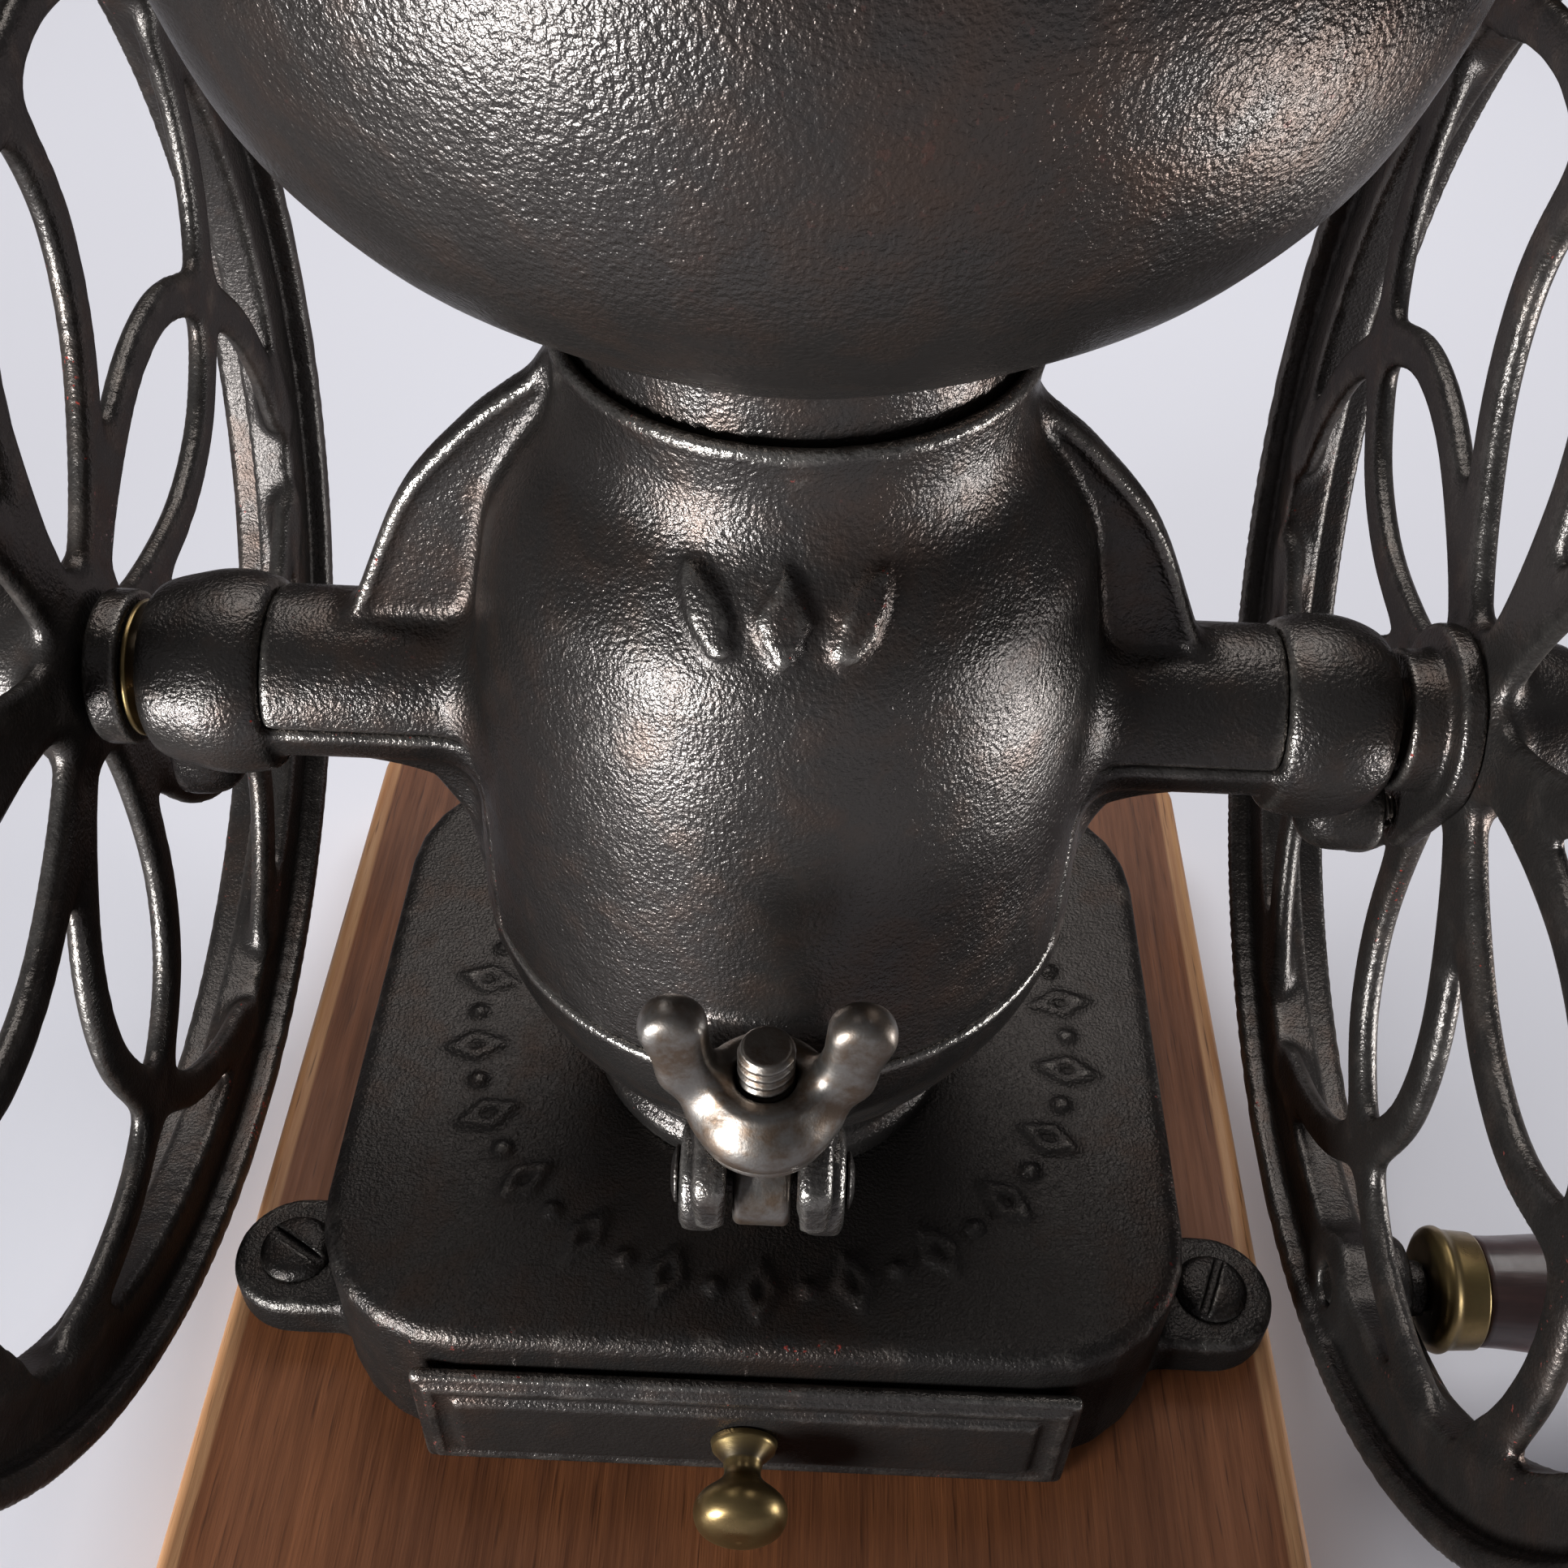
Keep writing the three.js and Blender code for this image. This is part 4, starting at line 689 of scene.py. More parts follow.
class MillFinish(bpy.types.PropertyGroup):
    skin: tint("Iron", "Colour of the dark skin on the castings", (0.066, 0.059, 0.055))
    rust: tint("Brown patches", "Colour of the brown patches on the castings", (0.079, 0.057, 0.047))
    worn: tint("Worn edges", "Colour of bare metal on worn edges", (0.34, 0.315, 0.285))
    edge_tint: tint("Edge tint", "Tint of the iron where it is seen at a slant", (0.3, 0.28, 0.27))
    paint: tint("Old paint", "Colour of the last flecks of paint", (0.24, 0.02, 0.012))
    steel: tint("Steel", "Colour of the bare steel pieces", (0.19, 0.172, 0.155))
    stain: tint("Stains", "Colour of the stains on bare steel", (0.10, 0.07, 0.05))
    brass: tint("Brass", "Colour of the brass", (0.22, 0.15, 0.065))
    olive: tint("Dull brass", "Colour of the tarnish on the brass", (0.15, 0.108, 0.045))
    gold: tint("Rubbed brass", "Colour of the brass on its rubbed edges", (0.42, 0.31, 0.14))
    wood: tint("Board", "Lighter colour of the board", (0.24, 0.085, 0.032))
    wood_dark: tint("Board grain", "Darker colour of the board", (0.10, 0.034, 0.014))
    # Colour of the painted highlight along the board's side edges.
    strip: tint("Edge strip", "Colour of the strip along the board's sides", (0.46, 0.25, 0.12))
    grip: tint("Grip", "Lighter colour of the crank grip", (0.065, 0.028, 0.024))
    grip_dark: tint("Grip grain", "Darker colour of the crank grip", (0.03, 0.014, 0.012))
    grain: length("Grain", "Size of the orange peel on the iron", 0.55)
    grain_depth: length("Grain depth", "Depth of the orange peel on the iron", 0.185)
    # Distance from the middle at which the painted edge highlight starts.
    highlight_from: length("Strip place", "Distance of the edge strip from the board's middle", 84)
    rough: fraction("Roughness", "Roughness of the iron", 0.27)
    wear: fraction("Wear", "How bright the worn edges are", 0.52)


class MillCase(bpy.types.PropertyGroup):
    axis: length("Body axis", "How far the body's axis is right of the wheels' middle", 1.5)
    seam: length("Seam", "Drop of the seam between the castings below the shaft", 30)
    gap: length("Seam gap", "Gap between the castings at their seam", 0.3)
    arm: length("Arm radius", "Radius of the arms round the shaft", 12.6)
    arm_end: length("Arm end", "Distance of the arms' ends from the middle", 68.7)
    bore: length("Bore", "Radius of the bore through the arms", 9)
    cove: length("Arm cove", "Fillet between the arms and the body", 6.5)
    rise: length("Arm rise", "How much higher the lower halves of the arms lie", 1.6)
    web_half: length("Web", "Half of the webs' thickness", 1.9)
    pin_y: length("Clamp place", "Distance of the clamp pin in front of the shaft", 60)
    pin_drop: length("Clamp drop", "Drop of the clamp pin below the shaft", 28.6)
    motif_height: length("Motif relief", "How far the front motif stands out", 1.25)
    step: length("Mesh step", "Size of the faces on the castings", 0.85)


class MillWheels(bpy.types.PropertyGroup):
    face: length("Spoke face", "Distance of the spokes' flat faces from the middle", 95.3)
    back: length("Spoke back", "Distance of the spokes' round backs from the middle", 99.2)
    ring_back: length("Ring back", "Distance of the inner ring's back from the middle", 102.9)
    rod_half: length("Spoke width", "Half width of a spoke rod", 4)
    blend: length("Spoke fillet", "Fillet where the rods cross", 2.2)
    rim_thick: length("Rim", "Thickness of the rim's band", 4.1)
    ring_inner: length("Inner ring", "Inner radius of the ring inside the rim", 97.4)
    petals: bpy.props.IntProperty(name="Petals", description="Petals in each wheel", default=6, min=3, max=9)
    first: bearing("First petal", "Angle of the first petal", 13)
    step: length("Mesh step", "Size of the faces on the wheels", 1.0)


class MillStage(bpy.types.PropertyGroup):
    floor: tint("Floor", "Colour of the floor and backdrop", (0.80, 0.80, 0.86))
    lens: amount("Lens", "Focal length of the camera in millimetres", 39.33, 1)
    pitch: bearing("Pitch", "How far the camera looks down", 44.3)
    roll: bearing("Roll", "Turn of the camera about its view", 2.11)
    yaw: bearing("Yaw", "Turn of the camera to the side", 0.435)
    camera: bpy.props.FloatVectorProperty(
        name="Camera place", description="The camera's place from the shaft's middle", size=3,
        default=(0.00326, -0.18045, 0.15846), unit="LENGTH", precision=4,
    )
    lamp: amount("Lamps", "Power in watts that the lamps take their shares of", 1.9, 0)


class MillSettings(bpy.types.PropertyGroup):
    finish: bpy.props.PointerProperty(type=MillFinish)
    case: bpy.props.PointerProperty(type=MillCase)
    wheels: bpy.props.PointerProperty(type=MillWheels)
    stage: bpy.props.PointerProperty(type=MillStage)


class Sizes:
    """The lengths of a property group in millimetres, and its other values as they are."""

    def __init__(self, group):
        for key, prop in group.bl_rna.properties.items():
            if key not in ("rna_type", "name"):
                value = getattr(group, key)
                setattr(self, key, value / MM if prop.unit == "LENGTH" and isinstance(value, float) else value)


def sizes(group):
    return Sizes(getattr(bpy.context.scene.coffee_mill, group))


# The case's shared shapes

BODY = [(43.9, -30), (42.6, 2), (41.35, 16), (39.9, 24.5), (38, 33), (34.2, 40), (30.4, 45.5), (28.9, 50.5),
        (28.9, 55), (29.5, 59)]
BOWL = [(28.5, -74), (28.5, -68), (29, -64), (34.5, -57), (40, -46), (43, -38), (44.1, -30)]
BODY_INSIDE = [(39.9, -34), (38.7, 2), (37, 18), (34.9, 28), (31.5, 36), (27.4, 42), (24.5, 47), (24, 50)]
BOWL_INSIDE = [(20, -80), (20, -63.5), (29.5, -56), (35.6, -46), (38.6, -38), (39.9, -29)]
WEB = [(60.5, 8), (59.4, 10.5), (56.5, 14.2), (54.2, 19.2), (52.3, 23.6), (49.9, 28.8), (47.2, 33.4), (44.1, 37.3),
       (40.6, 41), (37.5, 44.1), (34.3, 46.7), (30.8, 49.4), (29, 51.8), (27, 54.5)]
FOOT_RADIUS, FOOT_THICK, CHUTE_RADIUS = 30, 5, 20
THROAT_RADIUS, SEAT_RADIUS, LEDGE, TOP = 23.5, 27.3, 54, 59
TROUGH = {"from": -18, "to": 35, "radius": 13.4, "wall": 2.8, "web": 5, "half": 21, "end": 3}
BURR_HOLE = 11
FOOT_RING, FOOT_SCREWS, FOOT_HOLE, FOOT_HOLE_TOP = 24.25, 4, 2.0, -69.1
HINGE = {"y": 52, "drop": 26.5, "radius": 5.4, "pin": 2.7, "knuckle": 6, "lug": 5}
CLAMP_LUG = {"inner": 5.2, "outer": 10.3, "radius": 7}
PAD = {"half": 8.6, "radius": 11.9, "front": 8.6, "slot": 4.3}
EYE_SPACE = 6.6
SHAFT_SPACE = 6.3
LID_PIVOT_Y, LID_PIVOT_RADIUS, LID_PIVOT_HOLE = 68, 5.5, 2.5


def body_skin(s, rise=0.0):
    """The whole outside of the body with both arms, before it is parted into two castings."""
    line = [(0, -74), *smooth_line([(43, -74), *BODY]), (0, TOP)]
    body = lathe(line).moved(s.axis)
    arms = rod(s.arm, -s.arm_end, s.arm_end, "X", 0.5).moved(0, 0, rise)
    return body.joined(arms, s.cove)


def cheeks(s, grow):
    """The regions beside the body where the lower casting reaches up to the shaft."""
    high, low = grow - s.gap / 2, -s.seam - 6
    points = [(-s.arm - grow, high), (-s.arm - 4.2 - grow, low / 2), (-s.arm - 6 - grow, low),
              (s.arm + 2 + grow, low), (s.arm + grow, high)]
    return plate(points, 28 - grow, 90, "X", CRISP).both_sides()


def case_inside(s):
    upper = [(0, -34), *smooth_line(BODY_INSIDE), (THROAT_RADIUS, 50), (THROAT_RADIUS, 66), (0, 66)]
    return lathe(upper).moved(s.axis)


def shaft_bore(s):
    return rod(s.bore, -100, 100, "X", 0.2)


def shaft_hole():
    """The bore of every piece that sits on the shaft."""
    return rod(SHAFT_SPACE, -150, 150, "X", SHARP)


def pin_round(s, radius, low, high, edge=SOFT):
    """A round bar on the clamp pin's axis."""
    return rod(radius, s.axis + low, s.axis + high, "X", edge).moved(0, -s.pin_y, -s.pin_drop)


def clamp_pad(s):
    """The saddle over the clamp lugs, which the wing nut presses on, with a slot for the bolt."""
    half, radius = PAD["half"], PAD["radius"]
    pin = -s.pin_drop
    saddle = pin_round(s, radius, -half, half, 1.6)
    root = block((s.axis - half, -s.pin_y, pin), (s.axis + half, -40, pin + radius * 0.8), 1.4)
    slot = PAD["slot"]
    wide = block((s.axis - slot, -s.pin_y - 20, pin - 20), (s.axis + slot, -s.pin_y, pin + 20), CRISP)
    spaces = [
        pin_round(s, CLAMP_LUG["radius"] + 0.3, -half - 3, half + 3, CRISP),
        block((-30, -s.pin_y - 20, pin - 30), (30, -44.2, pin), CRISP),
        block((-30, -90, pin - 20), (30, -s.pin_y - PAD["front"], pin + 20), CRISP),
        wide,
        rod(slot, pin - 20, pin + 20, "Z", CRISP).moved(s.axis, -s.pin_y),
        pin_round(s, EYE_SPACE, -slot, slot, CRISP),
    ]
    return without(saddle.joined(root, 3), *spaces, edge=0.9)


def front_motif(s, skin_form):
    """A plain raised ornament on the front of the body: a lozenge between two leaves."""
    height, middle = s.motif_height, 40.5
    lift = Form(lambda p: skin_form(p) - height)
    flat = [
        plate([(middle - 5.3, 0), (middle, -3.3), (middle + 5.3, 0), (middle, 3.3)], -60, -20, "Y", 0.2),
        leaf(middle, 8.6, 0.5), leaf(middle, -8.6, -0.5),
    ]
    shapes = all_of(*flat, fillet=CRISP).moved(s.axis)
    return lift.kept(shapes, 0.6)


def leaf(middle, side, lean):
    """A pointed leaf that leans outwards, as a column along Y."""
    half, belly = 5.0, 2.3
    turn = np.array([[math.cos(lean), -math.sin(lean)], [math.sin(lean), math.cos(lean)]])
    angles = np.linspace(0, 2 * math.pi, 25)[:-1]
    line = [(half * math.cos(a), belly * math.sin(a) * abs(math.sin(a)) ** 0.25) for a in angles]
    points = [tuple(turn @ p + (middle, side)) for p in line]
    return plate(points, -60, -20, "Y", 0.2)


def web(s):
    """The thin webs from the arms to the neck, with a bead along their outer edge."""
    line = smooth_line(WEB, 4)
    points = [(z, x) for x, z in [*line, (24, 40), (33, 9)]]
    edge = [(z, x) for x, z in line]
    thin = plate(points, -s.web_half, s.web_half, "Y", 1.0)
    near = outline([*edge, *[(z - 0.5, x - 0.9) for z, x in reversed(edge)]])

    def bead_distance(p):
        beside, above = near(p[:, 2], p[:, 0]) + 0.4, np.abs(p[:, 1]) - s.web_half
        return np.hypot(np.maximum(beside, 0), np.maximum(above, 0)) - 0.9
    bead = Form(bead_distance)
    return thin.joined(bead.kept(plate(points, -9, 9, "Y", 0.5), 0.6), 1.0).both_sides()


def knuckle(s):
    z, y, half = -HINGE["drop"], HINGE["y"], HINGE["knuckle"]
    round_part = rod(HINGE["radius"], s.axis - half, s.axis + half, "X", 0.6).moved(0, y, z)
    root = block((s.axis - half, 40, -s.seam + s.gap / 2), (s.axis + half, y, z + HINGE["radius"]), 0.5)
    hole = rod(HINGE["pin"], -20, 20, "X", SHARP).moved(0, y, z)
    return round_part.joined(root, 1.2).cut(hole, 0.5)


class MILL_OT_upper_case(bpy.types.Operator):
    """The upper casting: the body's dome, the tops of the arms, webs, clamp pad and hinge knuckle"""
    bl_idname = "mill.upper_case"
    bl_label = "Upper case"

    def execute(self, context):
        s = sizes("case")
        whole = body_skin(s)
        below = block((-90, -90, -120), (90, 90, -s.seam + s.gap / 2), 0.2)
        lower = below.joined(cheeks(s, s.gap), CRISP)
        outside = whole.joined(web(s), 2.0).joined(front_motif(s, whole), 0.5)
        seat = rod(SEAT_RADIUS, LEDGE, 90, "Z", CRISP).moved(s.axis)
        hollow = outside.cut(case_inside(s), 0.8).cut(seat, 1.0).joined(funnel_wall(s), 1.2)
        fitted = hollow.cut(lower, 0.8).joined(clamp_pad(s), 2.6)
        screw_space = rod(TROUGH["radius"], TROUGH["from"], TROUGH["to"], "X", CRISP)
        fitted = fitted.cut(lower, 0.5).cut(shaft_bore(s), 0.6).cut(screw_space, 0.5)
        form = fitted.cut(under_pad(s), 0.6).joined(knuckle(s), 1.6)
        cast_piece("upper_case", form, s.step, "stand_and_case", "black_iron", "_skin")
        return {"FINISHED"}


def funnel_wall(s):
    """The thin funnel that leads the beans from the throat to the feed screw."""
    wall = [(THROAT_RADIUS - 0.5, 52), (25.5, 52), (16, 20), (16, 0.2), (13.5, 0.2), (13.5, 20)]
    return hollow_turned(wall, s.axis)


def under_pad(s):
    """The room under the saddle for the lugs and the bolt's eye."""
    return all_of(
        pin_round(s, CLAMP_LUG["radius"] + 0.3, -12, 12, CRISP),
        pin_round(s, EYE_SPACE, -PAD["slot"], PAD["slot"], CRISP),
        fillet=CRISP,
    )


def bulb(s, side):
    """The round bearing end of an arm, with its lug below."""
    high = span("lower_case")[1]
    end, rim = (84.5, 10.4) if side > 0 else (86.2, 10.2)
    start = s.arm_end
    line = [(13.2, start), (14.16, start + 3.6), (14.3, 76), (13.7, 79.4), (12.3, end - 1.9), (rim, end)]
    round_part = lathe([(0, start), *smooth_line(line, 5), (0, end)], "X")
    reach, drop = (min(high[0], 89), 17.9) if side > 0 else (end + s.gap, 16.1)
    nose = smooth_line([(0, 77), (2.6, 77.3), (4.7, 78.6), (5.8, 80.6), (6.1, 83), (6.1, reach - 1)], 5)
    lug = lathe([*nose, (5.1, reach), (0, reach)], "X").moved(0, 0, -drop)
    whole = round_part.joined(lug, 4)
    if side > 0:
        return whole.cut(rod(3.2, 81.2, 95, "X", SHARP).moved(0, 0, -drop), 0.8)
    return whole.cut(rod(10.1, end, end + 5, "X", SHARP), 0.2).mirrored()


def lug_plates(s, points, near, far):
    """Two like lugs on each side of the body's axis."""
    right = plate(points, near, far, "X", 1.0)
    return right.both_sides().moved(s.axis)


def clamp_lugs(s):
    y, z, r = -s.pin_y, -s.pin_drop, CLAMP_LUG["radius"]
    top = -s.seam - s.gap * 2
    points = [(-36, -46), (y - 1, z - r * 1.25), *arc(y, z, r, 225, 0, 16), (y + r + 1.5, top), (-36, top)]
    lugs = lug_plates(s, points, CLAMP_LUG["inner"], CLAMP_LUG["outer"])
    return lugs.cut(rod(2.5, -30, 30, "X", SHARP).moved(0, y, z), 0.5)


def hinge_lugs(s):
    y, z, r = HINGE["y"], -HINGE["drop"], HINGE["radius"]
    top = -s.seam - s.gap * 2
    points = [(36, -46), (y, z - r * 1.25), *arc(y, z, r, -45, 180, 16), (y - r, top), (36, top)]
    near = HINGE["knuckle"] + s.gap
    hole = rod(HINGE["pin"], -30, 30, "X", SHARP).moved(0, y, z)
    return lug_plates(s, points, near, near + HINGE["lug"]).cut(hole, 0.5)


def trough(s):
    """The half pipe under the feed screw and the cross wall that carries the fixed burr."""
    t = TROUGH
    pipe = rod(t["radius"] + t["wall"], t["from"], t["to"], "X", 0.5)
    cross = block((t["from"], -t["half"], -58), (t["from"] + t["web"], t["half"], -s.gap), 0.5)
    half = block((-90, -90, -120), (90, 90, -s.gap / 2), SHARP)
    room = rod(t["radius"], t["from"] + t["web"], t["to"] - t["end"], "X", CRISP)
    return pipe.joined(cross, 1.5).cut(room, 0.6).kept(half, 0.4)


def foot_holes(s, low):
    """The holes for the screws that come up through the base into the foot."""
    hole = rod(FOOT_HOLE, low, FOOT_HOLE_TOP, "Z", SHARP)
    return [hole.moved(s.axis + FOOT_RING * math.cos(a), FOOT_RING * math.sin(a))
            for a in ring_of(FOOT_SCREWS, 45)]


class MILL_OT_lower_case(bpy.types.Operator):
    """The lower casting: bowl, foot, arm bottoms, bearing ends, gussets, clamp and hinge lugs"""
    bl_idname = "mill.lower_case"
    bl_label = "Lower case"

    def execute(self, context):
        s = sizes("case")
        foot_low, top = span("lower_case")[0][2], -s.seam - s.gap / 2
        line = [(0, foot_low), *smooth_line(BOWL), (0, -s.seam + 4)]
        bowl = lathe(line).kept(block((-90, -90, foot_low), (90, 90, top), SHARP), 1.0)
        foot = rod(FOOT_RADIUS, foot_low, foot_low + FOOT_THICK, "Z", 1.2)
        bowl = bowl.joined(foot, 2.0).moved(s.axis)
        cheek = body_skin(s, s.rise).kept(cheeks(s, 0), 0.8)
        gusset = [(-4, 30), (-4, 60), (-12, 58), (-15.5, 49), (-23, 45), (-34, 42.5), (-38, 34)]
        ribs = plate(gusset, -4.2, 4.2, "Y", 2).both_sides()
        ribs = ribs.kept(block((-90, -90, -90), (90, 90, -s.gap / 2)), 0.5)
        outside = bowl.joined(cheek, 1.0).joined(ribs, 4)
        ends = bulb(s, 1).joined(bulb(s, -1), 0.5)
        bowl_inside = lathe([(0, -80), *smooth_line(BOWL_INSIDE), (0, -29)]).moved(s.axis)
        inside = case_inside(s).joined(bowl_inside, 2)
        shell = outside.joined(ends, 1.2).cut(inside, 0.8).joined(trough(s), 1.5)
        shell = shell.joined(clamp_lugs(s), 3.0).joined(hinge_lugs(s), 2.5)
        feed = rod(BURR_HOLE, TROUGH["from"] - 9, TROUGH["from"] + TROUGH["web"] + 3, "X", CRISP)
        form = without(shell, shaft_bore(s), feed, *foot_holes(s, -90), edge=0.6)
        cast_piece("lower_case", form, s.step, "stand_and_case", "black_iron", "_skin")
        return {"FINISHED"}


# Stand

class MILL_OT_board(bpy.types.Operator):
    """The wooden board under the mill, with rounded edges"""
    bl_idname = "mill.board"
    bl_label = "Board"
    corner = 6
    edge = 2.0

    def execute(self, context):
        low, high = span("wood_board")
        rings = [(self.edge * (1 - math.sin(a)), low[2] + self.edge * (1 - math.cos(a)))
                 for a in np.radians(np.linspace(0, 90, 5))]
        rings += [(inset, low[2] + high[2] - z) for inset, z in reversed(rings)]
        points, count = [], 0
        for inset, z in rings:
            loop = self.loop(high[0] - inset, high[1] - inset, self.corner - inset)
            count = len(loop)
            points += [(x, y, z) for x, y in loop]
        ring = np.arange(count)
        faces = [list(ring[::-1])]
        for i in range(len(rings) - 1):
            a, b = i * count + ring, (i + 1) * count + ring
            faces += [list(f) for f in np.stack([a, np.roll(a, -1), np.roll(b, -1), b], 1)]
        faces.append(list((len(rings) - 1) * count + ring))
        mesh = bpy.data.meshes.new("board")
        mesh.from_pydata([Vector(p) * MM + SHAFT for p in points], [], [[int(i) for i in f] for f in faces])
        mesh.polygons.foreach_set("use_smooth", [len(f) == 4 for f in faces])
        piece = bpy.data.objects.new("board", mesh)
        context.scene.collection.objects.link(piece)
        fit(piece, "stand_and_case", "board_wood", "wood_board")
        return {"FINISHED"}

    @staticmethod
    def loop(x, y, radius):
        points = []
        for k, (sx, sy) in enumerate([(1, 1), (-1, 1), (-1, -1), (1, -1)]):
            points += arc(sx * (x - radius), sy * (y - radius), radius, 90 * k, 90 * k + 90, 7)
        return points


class MILL_OT_base(bpy.types.Operator):
    """The base casting with its screw ears, drawer opening and the ring of raised motifs"""
    bl_idname = "mill.base"
    bl_label = "Base casting"
    half_width, half_depth, corner = 67, 60, 24
    ring_radius, motifs, relief = 50, 22, 0.9

    def execute(self, context):
        s = sizes("case")
        low, high = span("base_casting")
        top = high[2] - self.relief
        shell = self.rounded_box(0, low[2], top, 3.0).cut(self.rounded_box(5, low[2] - 20, top - 5, 2), 0.5)
        drawer_high = span("drawer_box")[1]
        half = drawer_high[0] + 0.3
        rails = block((half, -57, low[2]), (half + 3, 57, top - 2.5), 0.4).both_sides()
        portal = block((-half, -80, low[2] - 20), (half, -50, drawer_high[2] + 0.3), 0.4)
        ears = [self.ear(x, y, low[2]) for x, y in self.ear_places()]
        whole = shell.joined(rails, 0.8).cut(portal, 0.6)
        for ear in ears:
            whole = whole.joined(ear, 2.5)
        whole = whole.joined(self.motif_ring(s, top), 0.7)
        holes = [rod(CHUTE_RADIUS, -100, -60, "Z", SHARP).moved(s.axis)]
        holes += [rod(2.7, -120, -80, "Z", SHARP).moved(x, y) for x, y in self.ear_places()]
        form = without(whole, *holes, *foot_holes(s, -100), edge=0.6)
        cast_piece("base_casting", form, 0.8, "stand_and_case", "dull_iron", "_skin")
        return {"FINISHED"}

    def rounded_box(self, inset, low, high, edge):
        x, y, r = self.half_width - inset, self.half_depth - inset, self.corner - inset
        return plate(MILL_OT_board.loop(x, y, r), low, high, "Z", edge)

    def ear_places(self):
        for i in range(4):
            middle = sum(span(f"base_screw_{i + 1}")) / 2
            yield middle[0], middle[1]

    def ear(self, x, y, low):
        round_part = rod(10.5, low, low + 9, "Z", 1.8).moved(x, y)
        if y > self.half_depth:
            corners = (x - 10.5, self.half_depth - 3, low), (x + 10.5, y, low + 9)
        else:
            start, end = sorted((x, math.copysign(self.half_width - 3, x)))
            corners = (start, y - 10.5, low), (end, y + 10.5, low + 9)
        return round_part.joined(block(*corners, 1.8), 0.5)

    def motif_ring(self, s, top):
        """Lozenges and dots in turn round the body's foot, as one relief repeated by angle."""
        part = 2 * math.pi / self.motifs
        lozenge = outline([(-5.6, 0), (0, -3.0), (5.6, 0), (0, 3.0)])
        hollow = outline([(-2.6, 0), (0, -1.2), (2.6, 0), (0, 1.2)])
        radius, relief = self.ring_radius, self.relief

        def distance(p):
            x, y = p[:, 0] - s.axis, p[:, 1]
            angle = np.arctan2(y, x)
            near = (np.floor(angle / part) + 0.5) * part
            between = np.round(angle / part) * part
            r = np.hypot(x, y)
            along, side = r * np.cos(angle - near) - radius, r * np.sin(angle - near)
            dot = np.hypot(r * np.cos(angle - between) - radius, r * np.sin(angle - between)) - 1.5
            flat = np.minimum(np.maximum(lozenge(along, side), -hollow(along, side)), dot)
            end = p[:, 2] - top - relief
            return -soft_min(-flat, -np.maximum(end, top - 2 - p[:, 2]), 1.0)
        return Form(distance)


def slotted(radius, height, shank, depth, slot, cut):
    """A round slotted screw with its seat at zero."""
    shares = [(1, 0.25), (0.8, 0.75), (0.4, 0.97), (0, 1)]
    line = smooth_line([(radius * a, height * b) for a, b in shares], 5)
    head = lathe([(0, 0), (radius, 0), *line])
    whole = head.joined(rod(shank, -depth, height / 2, "Z", 0.2), CRISP)
    return whole.cut(block((-radius - 3, -slot / 2, height - cut), (radius + 3, slot / 2, height + 5), SHARP), 0.25)


class MILL_OT_screws(bpy.types.Operator):
    """The slotted screws: four in the base's ears, four in the foot and the lid's pivot"""
    bl_idname = "mill.screws"
    bl_label = "Screws"

    def execute(self, context):
        for i in range(4):
            base, foot = slotted(6, 2.6, 2.4, 19, 1.5, 1.4), slotted(4, 2.4, 1.7, 10.6, 1.2, 1.2)
            self.screw(f"base_screw_{i + 1}", base, 2.6, 0.5 + 0.7 * i, 0.3, "dull_iron")
            self.screw(f"foot_screw_{i + 1}", foot, 2.4, 0.9 * i, 0.28, "dull_iron", False)
        self.screw("lid_pivot_screw", slotted(4.6, 2.2, 2.2, 7.3, 1.1, 1.1), 2.2, 0.4, 0.28, "worn_steel")
        return {"FINISHED"}

    @staticmethod
    def screw(node, form, height, turn, step, slot, upright=True):
        low, high = span(node)
        x, y = (low[0] + high[0]) / 2, (low[1] + high[1]) / 2
        seat = high[2] - height if upright else low[2] + height
        placed = form.turned((0 if upright else math.pi, 0, turn)).moved(x, y, seat)
        cast_piece(node, placed, step, "stand_and_case", slot)


